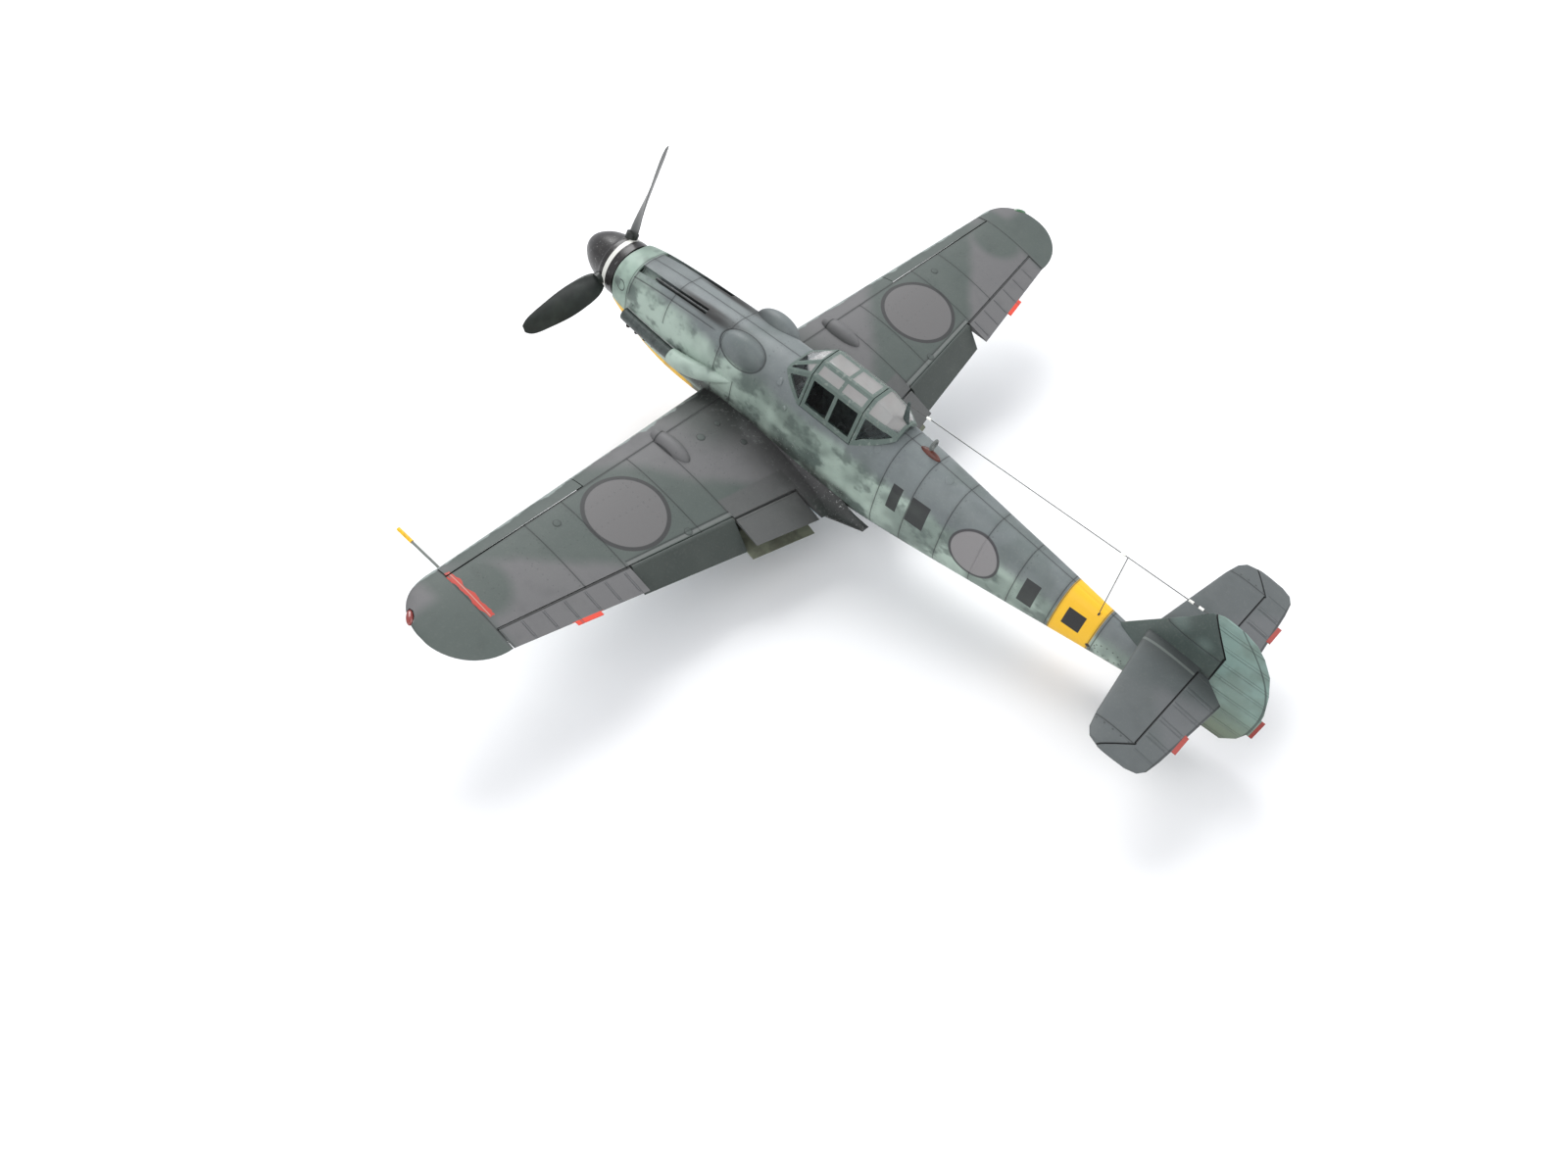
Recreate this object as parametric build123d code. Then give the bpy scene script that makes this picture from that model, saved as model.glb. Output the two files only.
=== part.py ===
"""A 1:32 scale model of a single-seat propeller fighter, parked on its wheels, as separate pieces.

Shapes are worked out in the flight frame: +X to port, +Y aft, +Z up, with the origin at the spinner's tip
on the propeller axis. park() then pitches everything nose-up onto its three wheels, with the origin at the
bottom centre of the overall box and the nose towards -Y.
"""

from build123d import *
from functools import cache
import math
import os

SCALE = 32
M = 1000 / SCALE  # millimetres of model for one metre of the full-size aircraft

# ---- driving sizes: full-size metres times M, or plain millimetres of the model ----
ground_angle = 13.0  # degrees that the propeller axis points up when parked
skin = 1.0  # moulded wall of the fuselage and wings
joint_gap = 0.35  # clearance round moving surfaces
run_gap = 0.05  # radial clearance of a pin in its hole

spinner_length = 0.70 * M
spinner_radius = 0.35 * M
blade_plane = 0.50 * M
blade_tip_radius = 1.50 * M
blade_chord = 0.33 * M
blade_root_radius = 0.075 * M
blade_turn = -23.0  # degrees that the first blade stands from upright, positive to port
shaft_radius = 1.5
hub_radius = 0.13 * M
backplate_thickness = 0.05 * M

ring_front = 0.73 * M
ring_rear = 1.00 * M
firewall = 2.72 * M
cowl_split = -0.22 * M  # height where the upper cowling meets the lower one

sill_height = 0.43 * M
canopy_front = 3.58 * M
canopy_rear = 4.30 * M
canopy_wall = 0.9
glass_wall = 0.6
frame_bar = 0.045 * M

wing_root_x = 0.36 * M
wing_joint_x = 4.36 * M  # where the separate tip starts
half_span = 4.96 * M
wing_le_root = 2.299 * M
wing_le_slope = 0.0707
wing_te_root = 4.457 * M
wing_te_slope = -0.189
wing_z_root = -0.370 * M
wing_dihedral = 0.0856  # rise of the leading edge for each unit of span
wing_incidence = 0.06
root_thickness = 0.142
tip_thickness = 0.1135
hinge_fraction = 0.80
aileron_inner = 2.84 * M
flap_inner = 1.51 * M
duct_inner = 0.64 * M
slat_inner = 2.55 * M
slat_chord_inner = 0.150 * M
slat_chord_outer = 0.115 * M
slat_travel = 0.10 * M
flap_rest = 36.0  # degrees down as parked
upper_flap_rest = 10.0
lower_flap_rest = 13.0

tail_height = 0.70 * M
tail_half_span = 1.505 * M
elevator_axis_y = 8.475 * M
horn_x = 1.235 * M
elevator_tube_radius = 0.6
rudder_axis_y = 8.585 * M
rudder_nose = 0.045 * M
rudder_horn_z = 1.03 * M
rudder_top = 1.41 * M
rudder_bottom = -0.02 * M

tyre_radius = 0.33 * M
tyre_width = 0.16 * M
hub_disc_radius = 0.20 * M
axle_radius = 0.9
wheel_x = 1.03 * M
wheel_y = 2.18 * M
wheel_z = -1.42 * M
leg_radius = 0.048 * M
tail_wheel_radius = 0.145 * M
tail_wheel_width = 0.11 * M
tail_wheel_y = 8.07 * M
tail_pivot_y = 7.95 * M


# ---- small helpers ----
def box(x0, x1, y0, y1, z0, z1):
    """A block between two corners."""
    return Pos((x0 + x1) / 2, (y0 + y1) / 2, (z0 + z1) / 2) * Box(x1 - x0, y1 - y0, z1 - z0)


def prism_z(points, z0, z1):
    """A plan outline (x, y) extruded from z0 to z1."""
    return extrude(Pos(0, 0, z0) * make_face(Polyline(*points, close=True)), z1 - z0)


def prism_x(points, x0, x1):
    """A side outline (y, z) extruded from x0 to x1."""
    face = make_face(Polyline(*[(x0, y, z) for y, z in points], close=True))
    return extrude(face, amount=x1 - x0, dir=(1, 0, 0))


def rod(start, end, r0, r1=None):
    """A round bar or cone between two points."""
    a, b = Vector(*start), Vector(*end)
    plane = Plane(origin=a, z_dir=b - a)
    r1 = r0 if r1 is None else r1
    if abs(r0 - r1) < 1e-9:
        return Solid.make_cylinder(r0, (b - a).length, plane)
    return Solid.make_cone(r0, r1, (b - a).length, plane)


def pair(solid):
    """A piece and its mirror image on the other side."""
    return [solid, mirror(solid, about=Plane.YZ)]


def as_solids(shape):
    """The solids of any shape, largest first."""
    found = shape.solids() if hasattr(shape, "solids") else [s for x in shape for s in x.solids()]
    return sorted(found, key=lambda s: -s.volume)


def main_solid(shape):
    """The largest solid, without the crumbs that a cut can leave."""
    return as_solids(shape)[0]


# ---- fuselage ----
# station, half width, top, bottom, height of the widest line, all in full-size metres
STATIONS = [
    (0.73, 0.355, 0.355, -0.360, 0.000),
    (1.00, 0.385, 0.425, -0.520, -0.020),
    (1.50, 0.415, 0.500, -0.690, -0.060),
    (2.10, 0.430, 0.565, -0.700, -0.080),
    (2.72, 0.435, 0.615, -0.650, -0.080),
    (3.40, 0.430, 0.660, -0.660, -0.050),
    (4.10, 0.415, 0.700, -0.640, 0.000),
    (4.80, 0.380, 0.720, -0.560, 0.040),
    (5.60, 0.315, 0.665, -0.430, 0.080),
    (6.50, 0.235, 0.590, -0.270, 0.130),
    (7.40, 0.150, 0.510, -0.110, 0.190),
    (8.05, 0.085, 0.460, 0.000, 0.230),
    (8.52, 0.040, 0.440, 0.080, 0.260),
]
SECTION_POWER = 2.6
SECTION_POINTS = 16


def fuselage_section(station, inset=0.0):
    """One cross section: a closed rounded-square curve."""
    y, width, top, bottom, middle = (value * M for value in station)
    points = []
    for i in range(SECTION_POINTS):
        a = math.pi / 2 - 2 * math.pi * i / SECTION_POINTS
        reach = (top - middle if math.sin(a) >= 0 else middle - bottom) - inset
        x = (width - inset) * math.copysign(abs(math.cos(a)) ** (2 / SECTION_POWER), math.cos(a))
        z = middle + reach * math.copysign(abs(math.sin(a)) ** (2 / SECTION_POWER), math.sin(a))
        points.append((x, y, z))
    return Wire(Spline(*points, periodic=True))


@cache
def fuselage_solid(inset=0.0, first=0, last=len(STATIONS)):
    """The whole body between two stations as one smooth solid."""
    return Solid.make_loft([fuselage_section(s, inset) for s in STATIONS[first:last]])


COCKPIT_CUT = [(3.24, 0.62), (3.56, 0.43), (4.30, 0.43), (4.74, 0.745), (4.74, 1.3), (3.24, 1.3)]


def side_outline(points, width=0.6):
    """An outline of (y, z) full-size metres made into a block across the body."""
    return prism_x([(y * M, z * M) for y, z in points], -width * M, width * M)


# ---- glazing: three faceted lofts over the cockpit opening ----
def glazing_section(y, foot, sill, shoulder, crown, inset):
    """A faceted arch: foot, sill, shoulder and crown corners on both sides, moved inwards by inset."""
    half = [(foot[0], foot[1]), sill, shoulder, crown]
    moved = [(x * M - inset, z * M - (inset if n > 1 else 0)) for n, (x, z) in enumerate(half)]
    ring = moved + [(-x, z) for x, z in reversed(moved)]
    return Wire(Polyline(*[(x, y * M, z) for x, z in ring], close=True))


@cache
def screen_loft(inset=0.0):
    """The windscreen: a sloping front pane and two three-cornered side panes."""
    front = glazing_section(3.20, (0.33, 0.30), (0.325, 0.44), (0.21, 0.595), (0.15, 0.625), inset)
    rear = glazing_section(3.59, (0.375, 0.30), (0.364, 0.44), (0.265, 0.845), (0.125, 0.965), inset)
    return Solid.make_loft([front, rear], True)


@cache
def hood_loft(inset=0.0):
    """The opening hood: straight sides leaning inwards under a three-sided roof."""
    front = glazing_section(3.59, (0.375, 0.30), (0.364, 0.44), (0.265, 0.845), (0.125, 0.965), inset)
    rear = glazing_section(4.30, (0.370, 0.30), (0.358, 0.44), (0.255, 0.850), (0.120, 0.975), inset)
    return Solid.make_loft([front, rear], True)


@cache
def rear_loft(inset=0.0):
    """The fixed rear glazing, drawing in and down to the spine."""
    front = glazing_section(4.30, (0.370, 0.30), (0.358, 0.44), (0.255, 0.850), (0.120, 0.975), inset)
    middle = glazing_section(4.56, (0.350, 0.30), (0.345, 0.50), (0.215, 0.820), (0.095, 0.920), inset)
    rear = glazing_section(4.72, (0.320, 0.30), (0.300, 0.56), (0.150, 0.775), (0.060, 0.845), inset)
    return Solid.make_loft([front, middle, rear], True)


def glazing(outer, inner, opening, bars):
    """The framed shell between two lofts, as a frame and the panes between its bars."""
    shell = (outer - inner) & opening
    frame = shell & bars
    panes = shell - bars
    return main_solid(frame), as_solids(panes)


def frame_bars(stations, y0, y1):
    """Space taken by the hoops at the given stations and by the rails along the corners."""
    space = None
    for y in stations:
        low = max(y - frame_bar / M / 2, y0) * M
        high = min(y + frame_bar / M / 2, y1) * M
        hoop = box(-0.6 * M, 0.6 * M, low, high, 0, 1.3 * M)
        space = hoop if space is None else space + hoop
    return space


def rail(y0, x0, z0, y1, x1, z1, size):
    """A square-ended rail of the glazing frame along a corner, on both sides."""
    return pair(rod((x0 * M, y0 * M, z0 * M), (x1 * M, y1 * M, z1 * M), size * M))


def windscreen():
    bars = frame_bars([3.575], 3.0, 3.6)
    bars += side_outline([(3.20, 0.55), (3.24, 0.675), (3.56, 0.485), (3.62, 0.485), (3.62, 0.3), (3.2, 0.3)])
    for r in rail(3.18, 0.150, 0.60, 3.62, 0.126, 0.975, 0.034) + rail(3.18, 0.21, 0.57, 3.62, 0.262, 0.85, 0.034):
        bars += r
    bars += box(-0.3 * M, 0.3 * M, 3.2 * M, 3.285 * M, 0.4 * M, 0.72 * M)
    opening = side_outline(COCKPIT_CUT) & box(-0.6 * M, 0.6 * M, 3.2 * M, 3.60 * M, 0, 1.3 * M)
    inner = Pos(0, 0.0, 0) * screen_loft(canopy_wall)
    return glazing(screen_loft(), inner, opening, bars)


def hood():
    y0, y1 = 3.59 * M + joint_gap, 4.30 * M - joint_gap
    bars = frame_bars([3.62, 3.95, 4.27], 3.5, 4.4)
    bars += box(-0.6 * M, 0.6 * M, y0, y1, 0.3 * M, 0.50 * M)
    for r in rail(3.5, 0.260, 0.838, 4.4, 0.252, 0.845, 0.040) + rail(3.5, 0.125, 0.955, 4.4, 0.119, 0.965, 0.034):
        bars += r
    opening = box(-0.6 * M, 0.6 * M, y0, y1, sill_height + joint_gap, 1.3 * M)
    return glazing(hood_loft(), hood_loft(canopy_wall), opening, bars)


def rear_glazing():
    bars = frame_bars([4.32], 4.3, 4.8)
    bars += side_outline([(4.28, 0.3), (4.28, 0.47), (4.42, 0.60), (4.74, 0.80), (4.8, 0.80), (4.8, 0.3)])
    for r in rail(4.2, 0.256, 0.850, 4.58, 0.210, 0.810, 0.034) + rail(4.55, 0.216, 0.822, 4.75, 0.145, 0.765, 0.034):
        bars += r
    bars += box(-0.6 * M, 0.6 * M, 4.69 * M, 4.8 * M, 0, 1.3 * M)
    opening = side_outline(COCKPIT_CUT) & box(-0.6 * M, 0.6 * M, 4.30 * M, 4.72 * M, 0, 1.3 * M)
    return glazing(rear_loft(), rear_loft(canopy_wall), opening, bars)


# ---- wing ----
def le_y(x):
    return wing_le_root + wing_le_slope * (x - wing_root_x)


def te_y(x):
    return wing_te_root + wing_te_slope * (x - wing_root_x)


def le_z(x):
    return wing_z_root + wing_dihedral * (x - wing_root_x)


def chord_z(x, y):
    """Height of the wing's chord surface."""
    return le_z(x) - wing_incidence * (y - le_y(x))


def thickness_at(x):
    share = (x - wing_root_x) / (wing_joint_x - wing_root_x)
    return root_thickness + (tip_thickness - root_thickness) * share


def half_thickness(share, ratio):
    """Half the thickness of a four-digit aerofoil at a share of its chord, with a closed trailing edge."""
    root = 0.2969 * math.sqrt(share)
    return 5 * ratio * (root + share * (-0.126 + share * (-0.3516 + share * (0.2843 - 0.1036 * share))))


AEROFOIL_SHARES = (0.86, 0.64, 0.42, 0.25, 0.12, 0.045, 0.012)


def aerofoil(place, chord, ratio, camber=0.0, blunt=0.12):
    """A closed aerofoil wire: place(share_along, height) gives the point; blunt is the tail's half thickness."""
    def side(sign):
        points = []
        for share in AEROFOIL_SHARES:
            mean = camber * chord * 4 * share * (1 - share)
            points.append((share, mean + sign * max(half_thickness(share, ratio) * chord, blunt)))
        return points
    upper = [place(1, blunt)] + [place(*p) for p in side(1)]
    lower = [place(*p) for p in reversed(side(-1))] + [place(1, -blunt)]
    curve = Spline(*upper, place(0, 0), *lower)
    return Wire([curve.edge(), Line(lower[-1], upper[0]).edge()])


def wing_section(x, y0, y1, z0, ratio, camber=0.015):
    """A wing section at span station x, from leading edge y0 to trailing edge y1."""
    def place(share, height):
        y = y0 + share * (y1 - y0)
        return (x, y, z0 - wing_incidence * (y - y0) + height)
    return aerofoil(place, y1 - y0, ratio, camber)


@cache
def wing_loft():
    """The port wing up to the joint with its tip."""
    ends = [(x, le_y(x), te_y(x), le_z(x), thickness_at(x)) for x in (wing_root_x, wing_joint_x)]
    return Solid.make_loft([wing_section(*e) for e in ends], True)


def tip_outline(share):
    """Leading and trailing edge of the rounded tip at a share of its span."""
    middle = le_y(wing_joint_x) + 0.50 * (te_y(wing_joint_x) - le_y(wing_joint_x))
    front = (middle - le_y(wing_joint_x)) * (1 - share**2.6) ** (1 / 2.2)
    rear = (te_y(wing_joint_x) - middle) * (1 - share**2.2) ** (1 / 1.9)
    return middle - front, middle + rear


def wingtip_loft():
    """The rounded tip, thinning to its edge."""
    sections = []
    for share in (0.0, 0.35, 0.62, 0.82, 0.94, 0.995):
        x = wing_joint_x + share * (half_span - wing_joint_x)
        front, rear = tip_outline(share)
        ratio = tip_thickness * (1 - 0.35 * share**3)
        z = chord_z(wing_joint_x, front) + wing_dihedral * (x - wing_joint_x) + 0.02 * M * share**2
        sections.append(wing_section(x, front, rear, z, ratio))
    return Solid.make_loft(sections)


def hinge_y(x):
    return le_y(x) + hinge_fraction * (te_y(x) - le_y(x))


def hinge_point(x):
    """A point of the hinge line of the aileron and the flap, halfway through the wing."""
    y = hinge_y(x)
    camber = 0.015 * 4 * hinge_fraction * (1 - hinge_fraction) * (te_y(x) - le_y(x))
    return (x, y, chord_z(x, y) + camber)


def hinge_nose(x):
    """Radius of the rounded nose of an aileron or flap."""
    return half_thickness(hinge_fraction, thickness_at(x)) * (te_y(x) - le_y(x)) * 0.97


def behind_hinge(x0, x1, extra=0.0):
    """Everything behind the hinge line between two span stations."""
    far = 6 * M
    points = [(x0, hinge_y(x0) - extra), (x1, hinge_y(x1) - extra), (x1, far), (x0, far)]
    return prism_z(points, -2 * M, 2 * M)


def control_surface(wing, x0, x1):
    """A rear part of the wing with a rounded nose on its hinge line, and the space it is cut from."""
    a, b = x0 + joint_gap, x1 - joint_gap
    nose = rod(hinge_point(a), hinge_point(b), hinge_nose(a), hinge_nose(b))
    piece = (wing & behind_hinge(a, b)) + nose
    groove = rod(hinge_point(x0), hinge_point(x1), hinge_nose(x0) + joint_gap, hinge_nose(x1) + joint_gap)
    return main_solid(piece), behind_hinge(x0, x1) + groove


def turned(solid, start, end, angle):
    """A piece turned about the axis from start to end."""
    a, b = Vector(*start), Vector(*end)
    return solid.rotate(Axis(a, b - a), angle)


def slat_block(x0, x1, shift):
    """Everything ahead of the sloping cut behind a slat."""
    rings = []
    for x, width in ((x0, slat_chord_inner), (x1, slat_chord_outer)):
        y, z = le_y(x) + width + shift, le_z(x)
        far, up = le_y(x) - 10, 6.0
        ring = [(x, y + 0.6 * up, z + up), (x, y - 0.6 * up, z - up), (x, far - 8, z - up), (x, far - 8, z + up)]
        rings.append(Wire(Polyline(*ring, close=True)))
    return Solid.make_loft(rings, True)


duct_outer = flap_inner
duct_front = 3.18 * M
duct_drop = 0.235 * M  # how far the radiator bath hangs below the chord surface
duct_wall = 0.9


def duct_ends():
    return duct_inner, duct_outer - joint_gap


@cache
def duct_solid(inset=0.0, front=0.0, rear=0.0):
    """The radiator bath: a channel under the wing that follows the chord surface."""
    rings = []
    for x in (duct_ends()[0] + inset, duct_ends()[1] - inset):
        y0, y1 = duct_front - front, hinge_y(x) + rear
        za, zb = chord_z(x, y0), chord_z(x, y1)
        ring = [(x, y0, za - 0.02 * M - inset), (x, y1, zb + 0.015 * M - inset)]
        ring += [(x, y1, zb - duct_drop + inset), (x, y0 + 0.05 * M, za - duct_drop + inset)]
        rings.append(Wire(Polyline(*ring, close=True)))
    return Solid.make_loft(rings, True)


def duct_flap(lower):
    """One radiator flap: a thin tapering plate with a round hinge along its front edge."""
    x0, x1 = duct_inner + joint_gap, duct_outer - joint_gap
    ends = []
    for x in (x0, x1):
        y, z = hinge_y(x) + 0.033 * M, chord_z(x, hinge_y(x))
        ends.append((x, y, z - duct_drop + 0.04 * M if lower else z + 0.036 * M))
    knuckle = rod(ends[0], ends[1], 0.65)
    rings = []
    for x, y, z in ends:
        reach = te_y(x) - y
        ring = [(x, y, z + 0.55), (x, y + reach, z - 0.03 * M + 0.2), (x, y + reach, z - 0.03 * M - 0.2)]
        ring.append((x, y, z - 0.55))
        rings.append(Wire(Polyline(*ring, close=True)))
    plate = Solid.make_loft(rings, True)
    return main_solid(plate + knuckle), ends


# ---- tail ----
def tail_section(place, chord, ratio):
    return aerofoil(place, chord, ratio, 0.0, 0.10)


STABILISER = [(0.04, 7.850, 8.835), (0.60, 7.931, 8.785), (1.20, 8.018, 8.727), (1.38, 8.060, 8.695)]
STABILISER += [(1.46, 8.115, 8.640), (1.50, 8.225, 8.530)]


def stabiliser_loft():
    """The port half of the tailplane with its elevator, as one solid."""
    sections = []
    for x, front, rear in STABILISER:
        def place(share, height, x=x, front=front, rear=rear):
            return (x * M, (front + share * (rear - front)) * M, tail_height + height)
        sections.append(tail_section(place, (rear - front) * M, 0.105))
    return Solid.make_loft(sections, True)


def elevator_cut(gap):
    """Everything behind the elevator's front edge, which turns forward along the horn."""
    y = elevator_axis_y - gap
    points = [(-1, y), (horn_x - gap * 0.4, y), (1.60 * M, 8.125 * M - gap * 1.2), (1.60 * M, 9 * M), (-1, 9 * M)]
    return prism_z(points, 0.4 * M, M)


def elevator_and_stabiliser():
    whole = stabiliser_loft()
    inner, outer = 0.085 * M, horn_x - 0.02 * M
    radius = half_thickness(0.64, 0.105) * 0.90 * M * 0.97
    nose = rod((inner, elevator_axis_y, tail_height), (outer, elevator_axis_y, tail_height), radius, radius * 0.80)
    groove_r = radius + joint_gap
    groove = rod((-1, elevator_axis_y, tail_height), (outer + joint_gap, elevator_axis_y, tail_height), groove_r,
                 radius * 0.80 + joint_gap)
    corner = prism_z([(0, 0), (0.085 * M, 0), (0.085 * M, 8.56 * M), (0.27 * M, 8.86 * M), (0, 9 * M)], 0, M)
    elevator = (whole & elevator_cut(0)) + nose - corner
    stabiliser = whole - elevator_cut(joint_gap) - groove
    return main_solid(elevator), main_solid(stabiliser)


# height, leading edge, trailing edge of the upright tail, full-size metres
FIN = [(0.05, 7.34, 9.000), (0.20, 7.42, 9.120), (0.45, 7.56, 9.200), (0.70, 7.745, 9.165), (0.94, 7.925, 9.085)]
FIN += [(1.15, 8.080, 8.980), (1.30, 8.180, 8.840), (1.38, 8.235, 8.720), (1.425, 8.330, 8.560)]
FIN_RATIO = 0.085


@cache
def fin_loft():
    """The whole upright tail as one solid."""
    sections = []
    for z, front, rear in FIN:
        def place(share, height, z=z, front=front, rear=rear):
            return (height, (front + share * (rear - front)) * M, z * M)
        sections.append(tail_section(place, (rear - front) * M, FIN_RATIO))
    return Solid.make_loft(sections, True)


def rudder_cut(gap):
    """Everything behind the rudder's front edge, which turns forward at the horn."""
    y, z = rudder_axis_y - gap, rudder_horn_z - gap * 0.4
    points = [(y, -M), (y, z), (8.235 * M - gap, 1.45 * M), (8.1 * M - gap, 1.7 * M), (10 * M, 1.7 * M), (10 * M, -M)]
    return prism_x(points, -M, M)


def fin_and_rudder(fuselage):
    whole = fin_loft()
    low, high = 0.05 * M, rudder_horn_z - 0.02 * M
    nose = rod((0, rudder_axis_y, low), (0, rudder_axis_y, high), rudder_nose, rudder_nose * 0.8)
    groove = rod((0, rudder_axis_y, -M), (0, rudder_axis_y, high + joint_gap), rudder_nose + joint_gap,
                 rudder_nose * 0.8 + joint_gap)
    rudder = (whole & rudder_cut(0)) + nose
    fin = whole - rudder_cut(joint_gap + 0.1) - groove - fuselage
    fin = fin & box(-M, M, 7 * M, 9 * M, 0.43 * M, 2 * M)
    return main_solid(rudder), main_solid(fin)


# ---- fuselage pieces ----
cowl_rear = 3.02 * M
gun_x = 0.19 * M
trough_radius = 0.050 * M
barrel_radius = 0.020 * M
barrel_start = (gun_x, 1.25 * M, 0.405 * M)
trough_end = (gun_x, 2.05 * M, 0.490 * M)
EXHAUST = (1.03, 1.84, -0.29, -0.15)  # slot for the stubs: rear and front stations, lower and upper heights
spar_front = 2.95 * M
spar_rear = 3.45 * M


def spar_block():
    """The bar that carries the lower wing through the body."""
    low = chord_z(wing_root_x, spar_rear) - 0.075 * M
    high = chord_z(wing_root_x, spar_rear) - 0.010 * M
    return box(-0.46 * M, 0.46 * M, spar_front, spar_rear, low, high)


def exhaust_slot(side):
    y0, y1, z0, z1 = (value * M for value in EXHAUST)
    return box(min(0, side) * M, max(0, side) * M, y0, y1, z0, z1)


def exhaust_row():
    """The port exhaust: a strip let into the side with six stubs swept back from it."""
    strip = (fuselage_solid() - fuselage_solid(skin)) & exhaust_slot(1)
    piece = main_solid(strip)
    y0, y1, z0, z1 = (value * M for value in EXHAUST)
    for i in range(6):
        y = y0 + (y1 - y0) * (i + 0.5) / 6
        z = (z0 + z1) / 2
        start = (0.375 * M, y - 0.035 * M, z)
        end = (0.475 * M, y + 0.055 * M, z - 0.008 * M)
        stub = rod(start, end, 0.032 * M, 0.028 * M)
        bore = rod((0.44 * M, y + 0.0235 * M, z - 0.005 * M), (0.50 * M, y + 0.0775 * M, z - 0.010 * M), 0.018 * M)
        piece = piece + stub - bore
    cover = rod((0.392 * M, y0, z1 + 0.012 * M), (0.418 * M, y1, z1 + 0.012 * M), 0.016 * M)
    piece = piece + (cover & box(0, M, y0, y1, z0, z1 + 0.03 * M))
    return main_solid(piece - (fuselage_solid() - exhaust_slot(1)))


def trough_line(radius, rear=0.0):
    """A bar along the port gun's axis, from ahead of the cowling to the end of its trough."""
    start, end = Vector(*barrel_start), Vector(*trough_end)
    step = (end - start).normalized()
    return rod(tuple(start - step * 12), tuple(end + step * rear), radius)


def gun_barrel():
    start, end = Vector(*barrel_start), Vector(*trough_end)
    step = (end - start).normalized()
    return rod(barrel_start, tuple(end + step * 2.0), barrel_radius)


def cover_region():
    """The part of the body that the gun cover takes up."""
    return box(-M, M, ring_rear, cowl_rear, 0.12 * M, M)


def chin_region():
    """The part of the body that the chin cowling takes up."""
    return box(-M, M, ring_rear, firewall, -M, -0.42 * M)


def upper_cowling(shell, outer):
    """The gun cover: the top of the cowling with two troughs for the barrels."""
    region = cover_region()
    piece = shell & region
    beds = pair(trough_line(trough_radius + 1.4, 3.0))
    cuts = pair(trough_line(trough_radius))
    bores = pair(gun_barrel())
    for bed in beds:
        piece = piece + (bed & outer & region)
    for cut in cuts + bores:
        piece = piece - cut
    return main_solid(piece)


def gun_blister(side, outer, cover):
    """One breech fairing: an egg-shaped blister against the side of the gun cover."""
    blister = scale(Sphere(1), by=(0.155 * M, 0.31 * M, 0.210 * M))
    blister = Pos(side * 0.275 * M, 2.685 * M, 0.455 * M) * blister
    return main_solid(blister - outer - cover)


def intake_scoop(outer):
    """The round-mouthed supercharger intake on the port side, fading into the body behind."""
    stations = [(0.525, 1.88, -0.085, 0.092), (0.525, 2.02, -0.075, 0.103), (0.485, 2.30, -0.035, 0.100)]
    stations += [(0.435, 2.52, 0.020, 0.070), (0.405, 2.68, 0.070, 0.028)]
    sections = []
    for x, y, z, r in stations:
        plane = Plane(origin=(x * M, y * M, z * M), z_dir=(0, 1, 0))
        sections.append(Wire.make_circle(r * M, plane))
    scoop = Solid.make_loft(sections)
    mouth = rod((0.525 * M, 1.80 * M, -0.087 * M), (0.520 * M, 2.12 * M, -0.070 * M), 0.070 * M)
    neck = rod((0.30 * M, 2.05 * M, -0.07 * M), (0.525 * M, 2.05 * M, -0.07 * M), 0.060 * M)
    piece = scoop + neck - rod((0.525 * M, 1.80 * M, -0.087 * M), (0.520 * M, 2.08 * M, -0.072 * M), 0.070 * M)
    return main_solid(piece - outer)


def chin_scoop(outer):
    """The oil cooler's bath under the nose, open at both ends."""
    stations = [(1.25, 0.15, -0.66, -0.40), (1.55, 0.19, -0.775, -0.42), (2.00, 0.19, -0.800, -0.42)]
    stations += [(2.45, 0.16, -0.735, -0.42)]

    def ring(y, half, low, high, wall):
        half, low = half * M - wall, low * M + wall
        bevel = 0.06 * M
        points = [(-half, high * M), (-half, low + bevel), (-half + bevel, low), (half - bevel, low)]
        points += [(half, low + bevel), (half, high * M)]
        return Wire(Polyline(*[(x, y * M, z) for x, z in points], close=True))
    solid = Solid.make_loft([ring(*s, 0) for s in stations], True)
    hollow = Solid.make_loft([ring(*s, skin) for s in stations], True)
    return main_solid(solid - hollow - outer)


def wing_fillet(outer, wing):
    """The curved fairing between the top of the port wing and the body."""
    sections = []
    stations = [(2.42, 0.44, 0.03), (2.80, 0.50, 0.10), (3.40, 0.53, 0.13), (4.00, 0.56, 0.15)]
    stations += [(4.40, 0.59, 0.13), (4.62, 0.47, 0.09), (4.80, 0.38, 0.03)]
    for y, reach, height in stations:
        along = min(y * M, te_y(wing_root_x) - 0.1)
        share = (along - le_y(wing_root_x)) / (te_y(wing_root_x) - le_y(wing_root_x))
        lift = half_thickness(share, root_thickness) * (te_y(wing_root_x) - le_y(wing_root_x))
        z_in = chord_z(wing_root_x, y * M) + lift
        z_out = chord_z(reach * M, y * M) + lift * 0.97
        inner = (0.27 * M, y * M, z_in - 0.10 * M if y < 4.45 else z_in - 0.03 * M)
        foot = (reach * M, y * M, z_out - 0.004 * M)
        top = (0.36 * M, y * M, z_in + height * M)
        under = (reach * M, y * M, z_out - 0.025 * M)
        middle = (0.36 * M + 0.32 * (reach - 0.36) * M, y * M, z_out + 0.27 * (top[2] - z_out))
        curve = ThreePointArc(foot, middle, top)
        lines = [Line(top, inner), Line(inner, under), Line(under, foot)]
        sections.append(Wire([curve.edge()] + [line.edge() for line in lines]))
    return main_solid(Solid.make_loft(sections, True) - outer - wing)


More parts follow.
